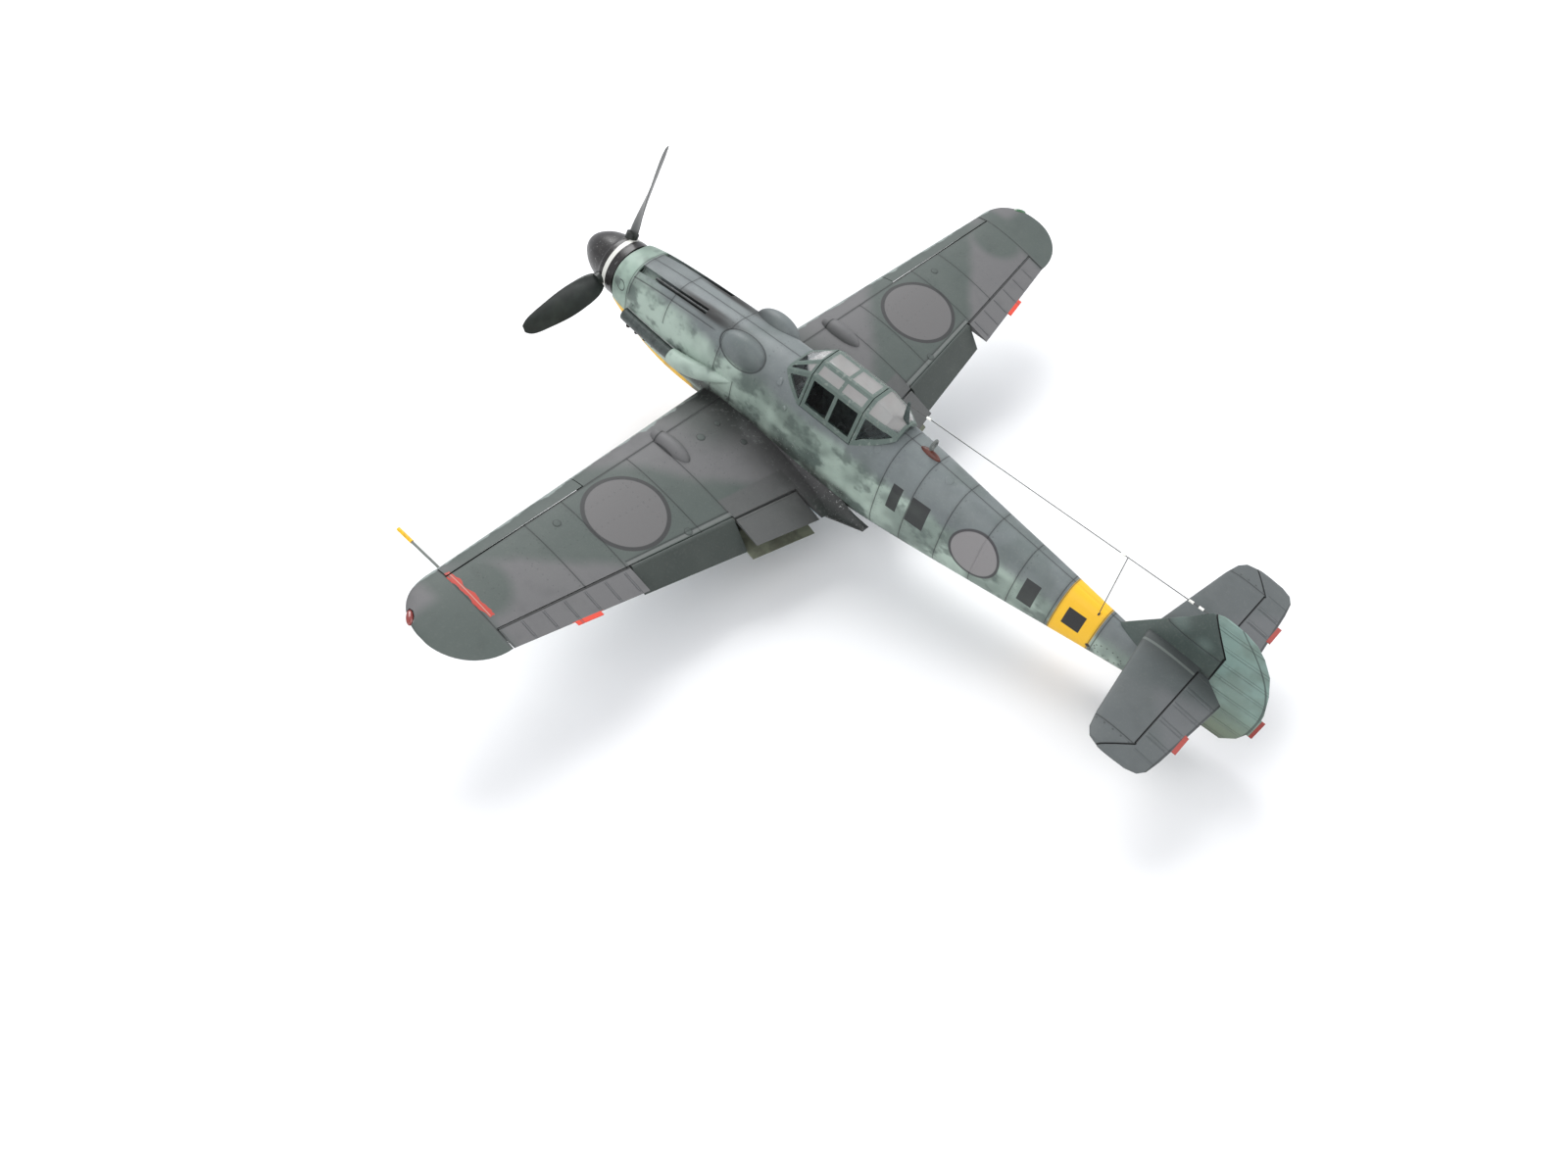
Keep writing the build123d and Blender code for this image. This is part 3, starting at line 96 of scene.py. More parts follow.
# %% The paint box
class Paint:
    """A material under construction: its methods add nodes and return their outputs."""

    def __init__(self, name, colour, rough=0.62, metal=0.0, coat=0.0):
        self.material = bpy.data.materials.new(name)
        self.material.use_nodes = True
        self.nodes, self.links = self.material.node_tree.nodes, self.material.node_tree.links
        self.shader = self.nodes["Principled BSDF"]
        self.point = self.add("ShaderNodeTexCoord").outputs["Object"]
        c, s = math.cos(PITCH), math.sin(PITCH)
        place = self.vector("SUBTRACT", self.point, tuple(SHIFT))
        self.x = self.dot(place, (32, 0, 0))
        self.y = self.dot(place, (0, 32 * c, -32 * s))
        self.z = self.dot(place, (0, 32 * s, 32 * c))
        self.side = self.math("ABSOLUTE", self.x)
        self.colour, self.rough, self.metal, self.height = colour, rough, metal, None
        self.shader.inputs["Coat Weight"].default_value = coat
        self.shader.inputs["Coat Roughness"].default_value = 0.25

    def add(self, kind):
        return self.nodes.new(kind)

    def put(self, socket, value):
        if isinstance(value, (int, float, tuple)):
            socket.default_value = value
        else:
            self.links.new(value, socket)

    def math(self, how, a, b=0.0, c=0.0):
        n = self.add("ShaderNodeMath")
        n.operation = how
        for socket, value in zip(n.inputs, (a, b, c)):
            self.put(socket, value)
        return n.outputs[0]

    def vector(self, how, a, b):
        n = self.add("ShaderNodeVectorMath")
        n.operation = how
        self.put(n.inputs[0], a)
        self.put(n.inputs[1], b)
        return n.outputs["Vector"]

    def dot(self, a, b):
        n = self.add("ShaderNodeVectorMath")
        n.operation = "DOT_PRODUCT"
        self.put(n.inputs[0], a)
        self.put(n.inputs[1], b)
        return n.outputs["Value"]

    def ramp(self, value, low, high):
        """0 below low, 1 above high, smooth between; reversed if low is above high."""
        n = self.add("ShaderNodeMapRange")
        n.interpolation_type = "SMOOTHSTEP"
        self.put(n.inputs["Value"], value)
        first, last = (0.0, 1.0) if low < high else (1.0, 0.0)
        ends = (("From Min", min(low, high)), ("From Max", max(low, high)), ("To Min", first), ("To Max", last))
        for name, v in ends:
            self.put(n.inputs[name], v)
        return n.outputs["Result"]

    def near(self, value, centre, half, soft=0.006):
        """1 within half of the centre, fading to 0 over soft."""
        away = self.math("ABSOLUTE", self.math("SUBTRACT", value, centre))
        return self.ramp(away, half + soft, half)

    def beyond(self, u, v, a, b, soft=0.07, wobble=None):
        """1 on the left of the line from a to b in the plane of u and v, fading over soft."""
        du, dv = (b[0] - a[0]) / math.dist(a, b), (b[1] - a[1]) / math.dist(a, b)
        away = self.math("MULTIPLY_ADD", v, du, dv * a[0] - du * a[1])
        away = self.math("MULTIPLY_ADD", u, -dv, away)
        if wobble is not None:
            away = self.math("ADD", away, wobble)
        return self.ramp(away, -soft, soft)

    def spot(self, u, v, centre, wide, deep=None, soft=0.3, wobble=None):
        """1 inside an oval, fading over the share soft of its size."""
        du = self.math("DIVIDE", self.math("SUBTRACT", u, centre[0]), wide)
        dv = self.math("DIVIDE", self.math("SUBTRACT", v, centre[1]), deep or wide)
        away = self.math("SQRT", self.math("ADD", self.math("MULTIPLY", du, du), self.math("MULTIPLY", dv, dv)))
        if wobble is not None:
            away = self.math("ADD", away, wobble)
        return self.ramp(away, 1 + soft, 1 - soft)

    def wobble(self, scale, size):
        """Noise about zero, up to about size either way."""
        return self.math("MULTIPLY", self.math("SUBTRACT", self.noise(scale, 2), 0.5), 3.0 * size)

    def both(self, *masks):
        out = masks[0]
        for mask in masks[1:]:
            out = self.math("MULTIPLY", out, mask)
        return out

    def either(self, *masks):
        out = masks[0]
        for mask in masks[1:]:
            out = self.math("MAXIMUM", out, mask)
        return out

    def noise(self, scale, detail=3.0, stretch=(1, 1, 1), rough=0.55):
        """Noise over the flight frame: scale is in lumps for each full-size metre."""
        n = self.add("ShaderNodeTexNoise")
        join = self.add("ShaderNodeCombineXYZ")
        for socket, value, k in zip(join.inputs, (self.x, self.y, self.z), stretch):
            self.put(socket, self.math("MULTIPLY", value, float(k)))
        self.put(n.inputs["Vector"], join.outputs[0])
        self.put(n.inputs["Scale"], float(scale))
        self.put(n.inputs["Detail"], float(detail))
        self.put(n.inputs["Roughness"], float(rough))
        return n.outputs["Fac"]

    def coat(self, mask, colour, strength=1.0, rough=None, metal=None):
        """Paints a colour over what is there, where the mask is 1."""
        mask = self.math("MULTIPLY", mask, float(strength)) if strength != 1 else mask
        n = self.add("ShaderNodeMix")
        n.data_type = "RGBA"
        self.put(n.inputs["Factor"], mask)
        self.put(n.inputs[6], self.colour)
        self.put(n.inputs[7], colour)
        self.colour = n.outputs[2]
        for name, value in (("rough", rough), ("metal", metal)):
            if value is not None:
                m = self.add("ShaderNodeMix")
                self.put(m.inputs["Factor"], mask)
                self.put(m.inputs[2], getattr(self, name))
                self.put(m.inputs[3], float(value))
                setattr(self, name, m.outputs[0])

    def sink(self, mask, depth=1.0):
        """Lowers the surface by depth hundredths of a millimetre where the mask is 1."""
        step = self.math("MULTIPLY", mask, -float(depth))
        self.height = step if self.height is None else self.math("ADD", self.height, step)

    def rivets(self, along, across, line, pitch=0.07, size=0.007):
        """Round dots on a line: spaced pitch apart along it."""
        turn = self.math("FRACT", self.math("DIVIDE", along, pitch))
        step = self.math("MULTIPLY", self.math("SUBTRACT", turn, 0.5), pitch)
        gap = self.math("SUBTRACT", across, line)
        away = self.math("SQRT", self.math("ADD", self.math("MULTIPLY", step, step), self.math("MULTIPLY", gap, gap)))
        return self.ramp(away, size * 1.3, size * 0.7)

    def finish(self, *names):
        """Joins the coats to the shader and puts the material on the named CAD nodes."""
        for name, value in (("Base Color", self.colour), ("Roughness", self.rough), ("Metallic", self.metal)):
            self.put(self.shader.inputs[name], value)
        if self.height is not None:
            bump = self.add("ShaderNodeBump")
            bump.inputs["Strength"].default_value = 0.8
            bump.inputs["Distance"].default_value = 0.00012
            self.put(bump.inputs["Height"], self.height)
            self.links.new(bump.outputs[0], self.shader.inputs["Normal"])
        self.material.use_fake_user = True
        for name in names:
            mesh = nodes[name].data
            mesh.materials.clear()
            mesh.materials.append(self.material)
            nodes[name].color = (1, 1, 1, 1)
        return self.material


print("paint box ready")

# %% [markdown]
# The colours of the finish: two camouflage colours above, a pale mottled side, identification yellow, soot, bare
# metal and rubber.

# %% Colours
GREEN = srgb(0.360, 0.405, 0.385)
VIOLET = srgb(0.500, 0.495, 0.500)
PALE = srgb(0.625, 0.690, 0.645)
MOTTLE = srgb(0.300, 0.350, 0.330)
SPINE = srgb(0.400, 0.425, 0.430)
YELLOW = srgb(0.930, 0.720, 0.040)
SOOT = srgb(0.100, 0.095, 0.090)
LINE = srgb(0.150, 0.165, 0.165)
GAP = srgb(0.070, 0.075, 0.075)
GLAZE = srgb(0.140, 0.150, 0.142)
ALLOY = srgb(0.660, 0.670, 0.660)
RED = srgb(0.800, 0.240, 0.160)
MARK = srgb(0.520, 0.510, 0.510)
BLACK = srgb(0.105, 0.105, 0.110)
STRIPE_X = 4.315   # the red brush stripe beside the wing tip's joint
BAND_Y = 7.24      # the middle of the yellow band
UNDER = srgb(0.530, 0.590, 0.620)
INSIDE = srgb(0.370, 0.395, 0.400)
FRAME = srgb(0.330, 0.385, 0.360)


def worn(p, amount=1.0):
    """Uneven fading, fine grain and dust that every painted surface shares."""
    p.coat(p.ramp(p.noise(1.6, 4), 0.35, 0.75), srgb(0.62, 0.63, 0.60), 0.08 * amount)
    p.coat(p.ramp(p.noise(5, 4), 0.48, 0.75), srgb(0.16, 0.18, 0.18), 0.14 * amount)
    p.coat(p.ramp(p.noise(40, 3), 0.52, 0.72), srgb(0.70, 0.70, 0.66), 0.06 * amount)
    p.sink(p.noise(55, 2), 0.35)


def lines(p, value, places, soft=0.03, limits=None, strength=0.62):
    """Engraved panel lines where value meets each place, with the soft dark wash that gathers beside them."""
    for place in places:
        fine, wide = p.near(value, place, 0.0030, 0.0050), p.near(value, place, 0.006, soft)
        if limits is not None:
            fine, wide = p.both(fine, limits), p.both(wide, limits)
        p.coat(wide, srgb(0.17, 0.18, 0.18), 0.13)
        p.coat(fine, LINE, strength)
        p.sink(fine, 1.6)


def dotted(p, mask, strength=0.25, depth=0.6):
    """Rivets: faint dark rings that are slightly sunk."""
    p.coat(mask, LINE, strength)
    p.sink(mask, depth)


print("colours ready")

# %% [markdown]
# The wings carry large soft-edged patches of two greys under a thin dark glaze, panel lines at the ribs and spars,
# faint rows of rivets, a chipped leading edge, and a plain ringed disc on each side as a neutral marking.

# %% Wing paint
def wing_share(p):
    """How far back a point lies: 0 at the wing's leading edge and 1 at its trailing edge."""
    front = p.math("MULTIPLY_ADD", p.side, 0.0707, 2.274)
    depth = p.math("MULTIPLY_ADD", p.side, -0.2597, 2.2515)
    return p.math("DIVIDE", p.math("SUBTRACT", p.y, front), depth)


def camouflage(p, share):
    """The wing's patches: lilac grey aft and outboard, and again at the root, over green grey, with painted shade at
    the front of the root.
    """
    sway = p.wobble(1.3, 0.10)
    outer = p.both(p.beyond(p.side, p.y, (2.85, 3.66), (4.0, 2.75), 0.09, sway), p.ramp(p.side, 4.42, 4.26))
    p.coat(outer, VIOLET)
    p.coat(p.spot(p.side, p.y, (4.20, 3.02), 0.30, 0.34, 0.28, sway), GREEN)
    p.coat(p.both(p.ramp(p.side, 4.50, 4.66), p.ramp(p.y, 2.98, 2.82)), VIOLET)
    p.coat(p.beyond(p.side, p.y, (2.35, 2.45), (1.0, 3.75), 0.12, sway), VIOLET)
    p.coat(p.both(p.ramp(share, 0.66, 0.68), p.near(p.side, 1.07, 0.45, 0.01)), srgb(0.42, 0.42, 0.42), 0.9)
    flap = p.both(p.ramp(share, 0.79, 0.80), p.near(p.side, 2.175, 0.660, 0.01))
    p.coat(flap, srgb(0.24, 0.28, 0.26))
    # Painted shade: darker towards the body at the front of the wing root.
    p.coat(p.both(p.ramp(p.side, 1.35, 0.85), p.ramp(p.y, 3.35, 2.85)), srgb(0.27, 0.30, 0.285), 0.85)


def ringed_disc(p, across, along, x, y, size, masks=()):
    """The neutral marking: a pale disc inside a dark ring."""
    dx, dy = p.math("SUBTRACT", across, x), p.math("SUBTRACT", along, y)
    away = p.math("SQRT", p.math("ADD", p.math("MULTIPLY", dx, dx), p.math("MULTIPLY", dy, dy)))
    p.coat(p.both(p.ramp(away, size + 0.006, size - 0.006), *masks), srgb(0.21, 0.20, 0.21), 0.92)
    p.coat(p.both(p.ramp(away, size * 0.90 + 0.006, size * 0.90 - 0.006), *masks), MARK, 0.90)


def leading_edge(p, share):
    """Scalloped, chipped paint along the front, showing pale metal."""
    reach = p.math("MULTIPLY_ADD", p.noise(5, 3, (1, 0.2, 0.2)), 0.085, -0.018)
    chips = p.ramp(p.noise(16, 6, (1, 1.6, 1), 0.7), 0.44, 0.50)
    p.coat(p.both(p.ramp(p.math("SUBTRACT", share, reach), 0.008, -0.004)), srgb(0.56, 0.60, 0.585), 0.70)
    p.coat(p.both(p.ramp(share, 0.016, 0.002), chips), srgb(0.78, 0.80, 0.78), 0.80, 0.45, 0.4)


def root_wear(p):
    """Bare metal scuffs on the walkway, and the soot that streams along the wing root."""
    walk = p.both(p.ramp(p.side, 0.74, 0.50), p.ramp(p.noise(22, 6, rough=0.72), 0.56, 0.61))
    p.coat(walk, ALLOY, 0.70, 0.40, 0.8)
    stain = p.both(p.ramp(p.side, 1.10, 0.46), p.ramp(p.noise(2.4, 4, (1, 0.5, 1)), 0.22, 0.54))
    p.coat(stain, SOOT, 0.72)


WING_CAPS = ((1.06, 2.91, 0.046), (0.76, 2.87, 0.034), (0.70, 3.23, 0.034), (3.10, 2.88, 0.040), (2.05, 3.72, 0.040))


def wing_paint(name, mark=True):
    p = Paint(name, GREEN, 0.60)
    share = wing_share(p)
    camouflage(p, share)
    worn(p)
    if mark:
        ringed_disc(p, p.side, p.y, 2.43, 3.18, 0.47)
    inside = p.both(p.ramp(share, 0.135, 0.140), p.ramp(share, 0.80, 0.79), p.ramp(p.side, 4.40, 4.36))
    lines(p, p.side, (1.52, 1.93, 2.876, 3.37), 0.04, inside)
    lines(p, share, (0.138,), 0.02, p.ramp(p.side, 4.37, 4.36), 0.75)
    lines(p, share, (0.755,), 0.02, p.both(p.near(p.side, 2.175, 0.665), inside), 0.5)
    p.coat(p.both(p.near(share, 0.77, 0.007), p.near(p.side, 2.175, 0.665)), srgb(0.60, 0.61, 0.60), 0.55)
    p.coat(p.both(p.near(share, 0.798, 0.005), p.near(p.side, 3.60, 0.765)), GAP, 0.95)
    lines(p, p.side, (4.362,), 0.02, None, 0.6)
    for rib in (1.97, 2.92, 3.41, 2.20, 3.62, 1.20, 4.10):
        dotted(p, p.both(p.rivets(p.y, p.side, rib, 0.075), inside), 0.22)
    for spar in (0.30, 0.46):
        step = p.math("MULTIPLY", p.math("SUBTRACT", share, spar), 1.5)
        dotted(p, p.both(p.rivets(p.side, step, 0.0, 0.08), inside), 0.18)
    for x, y, size in WING_CAPS:
        p.coat(p.spot(p.side, p.y, (x, y), size + 0.008, soft=0.08), LINE, 0.55)
        p.coat(p.spot(p.side, p.y, (x, y), size - 0.002, soft=0.08), GREEN, 0.75)
    p.coat(1.0, GLAZE, 0.50)
    leading_edge(p, share)
    root_wear(p)
    brush = p.math("ADD", p.x, p.wobble(5, 0.045))
    ends = p.math("ADD", p.y, p.wobble(14, 0.03))
    stripe = p.near(brush, STRIPE_X, 0.034, 0.006)
    bare = p.math("MULTIPLY", p.ramp(p.noise(26, 4, (2, 0.3, 1)), 0.60, 0.66), 0.8)
    thin = p.math("SUBTRACT", stripe, bare)
    p.coat(p.both(p.math("MAXIMUM", thin, 0.0), p.near(ends, 3.02, 0.32, 0.01)), srgb(0.70, 0.22, 0.17), 0.92)
    p.coat(p.both(p.near(p.x, STRIPE_X, 0.004, 0.003), p.near(p.y, 3.02, 0.30)), srgb(0.66, 0.55, 0.50), 0.7)
    return p


p = wing_paint("wing_camouflage")
red_tab = p.both(p.ramp(wing_share(p), 0.995, 1.0), p.ramp(p.side, 3.38, 3.40), p.ramp(p.side, 3.74, 3.72))
p.coat(red_tab, RED)
fabric = p.both(p.ramp(wing_share(p), 0.81, 0.82), p.near(p.side, 3.60, 0.74))
ribs = p.both(fabric, p.near(p.math("FRACT", p.math("DIVIDE", p.side, 0.235)), 0.5, 0.02, 0.05))
p.coat(ribs, srgb(0.34, 0.35, 0.36), 0.38)
p.sink(ribs, -3.0)
p.finish("wing_uppers", "wing_tips", "wheel_blisters", "slat_left", "slat_right", "aileron_left", "aileron_right",
         "flap_left", "flap_right", "radiator_upper_flap_left", "radiator_upper_flap_right")
p = wing_paint("fillet_paint", mark=False)
p.coat(p.ramp(p.noise(1.2, 4, (1, 0.7, 1)), 0.28, 0.60), srgb(0.13, 0.13, 0.13), 0.80)
p.coat(p.ramp(p.noise(30, 6, rough=0.75), 0.61, 0.64), ALLOY, 0.6, 0.35, 0.85)
p.finish("wing_fillets")
print("wings painted")

# %% [markdown]
# The underside is one pale blue-grey with the same lines, and the open radiator parts show a yellowish primer.

# %% Underside paint
p = Paint("underside_blue", UNDER, 0.6)
worn(p)
share = wing_share(p)
lines(p, p.side, (0.86, 1.52, 1.93, 2.55, 2.876, 3.37), 0.05)
lines(p, share, (0.14, 0.36, 0.62), 0.02)
p.coat(p.both(p.ramp(p.side, 0.75, 0.45), p.ramp(p.noise(3, 4), 0.35, 0.65)), SOOT, 0.55)
ring = p.math("SQRT", p.math("ADD", p.math("POWER", p.math("SUBTRACT", p.side, 1.42), 2.0),
                             p.math("POWER", p.math("SUBTRACT", p.y, 2.80), 2.0)))
p.coat(p.both(p.ramp(ring, 0.352, 0.348), p.ramp(p.z, -0.37, -0.35)), srgb(0.42, 0.45, 0.36), 0.8)
p.finish("wing_lower")
p = Paint("radiator_paint", UNDER, 0.62)
worn(p, 1.4)
p.coat(p.ramp(p.y, 3.62, 3.66), srgb(0.40, 0.41, 0.32), 0.9)
p.coat(p.ramp(p.noise(5, 5), 0.42, 0.66), srgb(0.16, 0.15, 0.13), 0.5)
p.finish("radiator_ducts", "radiator_lower_flap_left", "radiator_lower_flap_right")
p = Paint("radiator_core", srgb(0.36, 0.34, 0.28), 0.5, 0.6)
p.coat(p.near(p.math("FRACT", p.math("MULTIPLY", p.x, 24.0)), 0.5, 0.18, 0.1), SOOT, 0.8)
p.coat(p.near(p.math("FRACT", p.math("MULTIPLY", p.z, 40.0)), 0.5, 0.10, 0.1), SOOT, 0.7)
p.finish("radiator_cores")
print("underside painted")

# %% [markdown]
# The body is pale grey-green with dark sprayed mottle on its sides, a darker spine, soot behind the exhausts and a
# yellow band near the tail. Plain blocks and a ringed disc stand where a real aircraft carries its markings.

# %% Body paint
def body_paint(name):
    p = Paint(name, PALE, 0.52)
    p.coat(p.ramp(p.noise(1.5, 2, (1, 1, 1.2)), 0.44, 0.60), srgb(0.415, 0.470, 0.440), 0.85)
    p.coat(p.ramp(p.noise(2.9, 3, (1, 1, 1.3)), 0.49, 0.62), MOTTLE, 0.80)
    rise = p.math("SUBTRACT", p.z, p.math("MULTIPLY_ADD", p.y, -0.012, 0.40))
    rise = p.math("MULTIPLY_ADD", p.math("SUBTRACT", p.noise(2.2, 3), 0.5), 0.22, rise)
    p.coat(p.ramp(rise, -0.10, 0.06), SPINE, 0.94)
    p.coat(p.ramp(p.noise(1.8, 2, (1, 1, 0.6)), 0.52, 0.66), MOTTLE, 0.35)
    p.coat(p.ramp(p.z, -0.38, -0.50), UNDER, 0.8)
    worn(p)
    return p


def body_lines(p):
    aft = p.ramp(p.y, 3.0, 3.02)
    lines(p, p.y, (1.0, 2.42, 2.72, 4.80, 5.18, 5.62, 6.06, 6.52, 6.98, 7.50, 7.98), 0.04)
    lines(p, p.x, (0.0,), 0.03, aft)
    for ring in (4.84, 5.22, 5.66, 6.10, 6.56, 7.03, 7.44, 8.02, 3.24):
        dotted(p, p.rivets(p.z, p.y, ring, 0.055, 0.006), 0.25)
    for level in (0.30, 0.06, -0.20):
        dotted(p, p.both(p.rivets(p.y, p.z, level, 0.06, 0.006), aft), 0.2)


p = body_paint("body_camouflage")
body_lines(p)
flank = p.ramp(p.side, 0.05, 0.09)
drop = p.math("MULTIPLY_ADD", p.y, 0.010, p.z)
for station, half in ((5.00, 0.060), (5.30, 0.110), (6.70, 0.085)):
    p.coat(p.both(p.near(p.y, station, half), p.near(drop, 0.27, 0.17), flank), BLACK, 0.93)
ringed_disc(p, drop, p.y, 0.27, 6.02, 0.30, (flank,))
p.coat(p.near(p.y, BAND_Y, 0.225, 0.008), YELLOW, 0.96)
p.coat(p.both(p.near(p.y, 7.22, 0.10), p.near(drop, 0.33, 0.12), flank), BLACK)
lines(p, p.y, (7.02, 7.46), 0.03)
p.coat(p.both(p.spot(p.y, p.z, (7.386, 0.486), 0.012, soft=0.2), p.ramp(p.x, 0.01, 0.03)), BLACK)
# A black disc stands for a small hole: painted shade.
p.coat(p.both(p.spot(p.y, p.z, (7.465, 0.057), 0.026, soft=0.15), p.ramp(p.x, 0.01, 0.03)), BLACK)
for i in range(14):
    at = (7.68 + 0.155 * math.cos(i * math.tau / 14), 0.118 + 0.075 * math.sin(i * math.tau / 14))
    p.coat(p.both(p.spot(p.y, p.z, at, 0.009, soft=0.2), p.ramp(p.x, 0.01, 0.03)), LINE, 0.8)
trail = p.math("SUBTRACT", p.z, p.math("MULTIPLY_ADD", p.y, -0.055, -0.10))
streak = p.both(p.near(trail, 0.0, 0.05, 0.22), p.ramp(p.y, 1.7, 2.1), p.ramp(p.y, 4.6, 2.8))
p.coat(p.both(streak, p.ramp(p.noise(2, 4, (1, 0.25, 1.6)), 0.25, 0.65)), SOOT, 0.92)
root = p.both(p.near(p.z, -0.36, 0.10, 0.16), p.near(p.y, 3.4, 0.9, 0.4))
p.coat(p.both(root, p.ramp(p.noise(2.6, 5), 0.34, 0.60)), SOOT, 0.80)
scuffs = p.both(p.near(p.z, -0.18, 0.10, 0.15), p.near(p.y, 3.3, 1.0, 0.4))
p.coat(p.both(scuffs, p.ramp(p.noise(24, 6, rough=0.75), 0.60, 0.63)), ALLOY, 0.85, 0.35, 0.85)
p.coat(p.ramp(p.y, 8.50, 8.515), MOTTLE, 0.7)
p.finish("fuselage_left", "fuselage_right")

p = body_paint("cowling_camouflage")
lines(p, p.y, (1.02, 1.60, 2.42), 0.05)
lines(p, p.x, (0.0,), 0.03)
lines(p, p.side, (0.30,), 0.04, p.ramp(p.y, 2.3, 2.2))
# The gun troughs: blotchy soot along them, and a smooth dark strip in their rear part that is painted shade in the
# recess.
groove = p.both(p.near(p.side, 0.19, 0.035, 0.05), p.ramp(p.y, 1.35, 1.85), p.ramp(p.y, 2.65, 2.15))
p.coat(p.both(groove, p.ramp(p.noise(4, 4, (1, 0.3, 1)), 0.15, 0.5)), SOOT, 0.95)
p.coat(p.both(p.near(p.side, 0.19, 0.02, 0.10), p.ramp(p.y, 1.9, 2.05), p.ramp(p.y, 3.0, 2.2)), SOOT, 0.5)
for ring in (1.06, 2.38, 2.46, 2.98):
    dotted(p, p.rivets(p.x, p.y, ring, 0.06, 0.007), 0.3)
blister = ((p.side, 0.275, 0.155), (p.y, 2.685, 0.31), (p.z, 0.455, 0.21))
egg = [p.math("DIVIDE", p.math("SUBTRACT", axis, centre), half) for axis, centre, half in blister]
square = [p.math("MULTIPLY", e, e) for e in egg]
egg = p.math("ADD", p.math("ADD", square[0], square[1]), square[2])
p.coat(p.near(egg, 1.10, 0.05, 0.07), srgb(0.13, 0.15, 0.15), 0.75)
p.finish("gun_cover", "gun_blisters")

p = body_paint("scoop_paint")
p.coat(p.ramp(p.y, 1.89, 1.875), srgb(0.30, 0.32, 0.31), 0.6)
p.coat(p.both(p.ramp(p.z, -0.06, -0.16), p.ramp(p.noise(4, 3), 0.3, 0.6)), SOOT, 0.6)
p.finish("intake_scoop")

p = Paint("ring_paint", srgb(0.560, 0.640, 0.590), 0.5)
p.coat(p.ramp(p.noise(3, 3), 0.5, 0.66), MOTTLE, 0.5)
worn(p)
lines(p, p.y, (0.985,), 0.03)
p.coat(p.ramp(p.z, -0.15, -0.19), YELLOW, 0.95)
cap = p.math("SQRT", p.math("ADD", p.math("POWER", p.math("SUBTRACT", p.y, 0.87), 2.0),
                            p.math("POWER", p.math("SUBTRACT", p.z, 0.13), 2.0)))
p.coat(p.both(p.near(cap, 0.062, 0.004, 0.005), p.ramp(p.x, 0.1, 0.12)), LINE, 0.9)
p.finish("nose_ring")

p = Paint("chin_yellow", YELLOW, 0.55)
worn(p, 0.8)
p.coat(p.ramp(p.y, 2.10, 2.16), srgb(0.36, 0.40, 0.38), 0.95)
lines(p, p.y, (1.32, 2.12), 0.05)
lines(p, p.x, (0.0,), 0.02)
p.coat(p.both(p.ramp(p.noise(4, 5), 0.48, 0.62), p.ramp(p.y, 1.2, 2.0)), SOOT, 0.55)
p.finish("chin_cowling")
print("body painted")

# %% [markdown]
# The tail surfaces: dark hinge gaps, ribs that show through the fabric of the moving parts, a dark mottled fin and a
# paler rudder. The red tabs are fixed trimming plates.

# %% Tail paint
def tail_share(p):
    """Distance ahead of the tailplane's trailing edge, in metres."""
    return p.math("SUBTRACT", p.math("MULTIPLY_ADD", p.side, -0.098, 8.875), p.y)


def dark_gap(p, u, v, a, b, half=0.011):
    """A thick dark line from a to b in the plane of u and v: the open gap at a hinge."""
    length = math.dist(a, b)
    du, dv = (b[0] - a[0]) / length, (b[1] - a[1]) / length
    along = p.math("MULTIPLY_ADD", u, du, p.math("MULTIPLY_ADD", v, dv, -du * a[0] - dv * a[1]))
    across = p.math("MULTIPLY_ADD", v, du, p.math("MULTIPLY_ADD", u, -dv, dv * a[0] - du * a[1]))
    p.coat(p.both(p.near(across, 0.0, half, 0.004), p.near(along, length / 2, length / 2, 0.004)), GAP, 0.95)


def tapes(p, mask, along, pitch):
    """The fabric tapes over the ribs: each a raised band between two fine shaded edges."""
    turn = p.near(p.math("FRACT", p.math("DIVIDE", along, pitch)), 0.5, 0.10, 0.03)
    inner = p.near(p.math("FRACT", p.math("DIVIDE", along, pitch)), 0.5, 0.055, 0.03)
    edge = p.both(mask, turn, p.math("SUBTRACT", 1.0, inner))
    p.coat(edge, srgb(0.20, 0.22, 0.22), 0.38)
    p.sink(p.both(mask, turn), -1.6)


p = Paint("tailplane_camouflage", srgb(0.445, 0.455, 0.465), 0.6)
sway = p.wobble(1.2, 0.10)
p.coat(p.beyond(p.side, p.y, (0.95, 7.5), (0.30, 8.9), 0.10, sway), srgb(0.35, 0.385, 0.385), 0.8)
p.coat(p.beyond(p.side, p.y, (1.5, 8.95), (0.60, 8.3), 0.10, sway), srgb(0.38, 0.41, 0.41), 0.7)
worn(p)
p.coat(1.0, GLAZE, 0.42)
# Painted shade: the tailplane darkens towards the body.
p.coat(p.ramp(p.side, 0.42, 0.12), srgb(0.20, 0.215, 0.21), 0.55)
fixed, moving = p.ramp(p.y, 8.46, 8.44), p.ramp(p.y, 8.47, 8.49)
lines(p, p.side, (1.24,), 0.03, fixed, 0.7)
p.coat(p.both(p.near(p.side, 0.165, 0.012), fixed), srgb(0.46, 0.49, 0.47), 0.55)
dotted(p, p.both(p.rivets(p.y, p.side, 1.27, 0.09, 0.011), fixed), 0.5)
tapes(p, p.both(moving, p.ramp(p.side, 1.30, 1.28)), p.side, 0.235)
dark_gap(p, p.side, p.y, (0.10, 8.460), (1.235, 8.460), 0.007)
dark_gap(p, p.side, p.y, (1.235, 8.460), (1.60, 8.115), 0.006)
p.coat(p.both(p.near(tail_share(p), 0.045, 0.006), moving), GAP, 0.55)
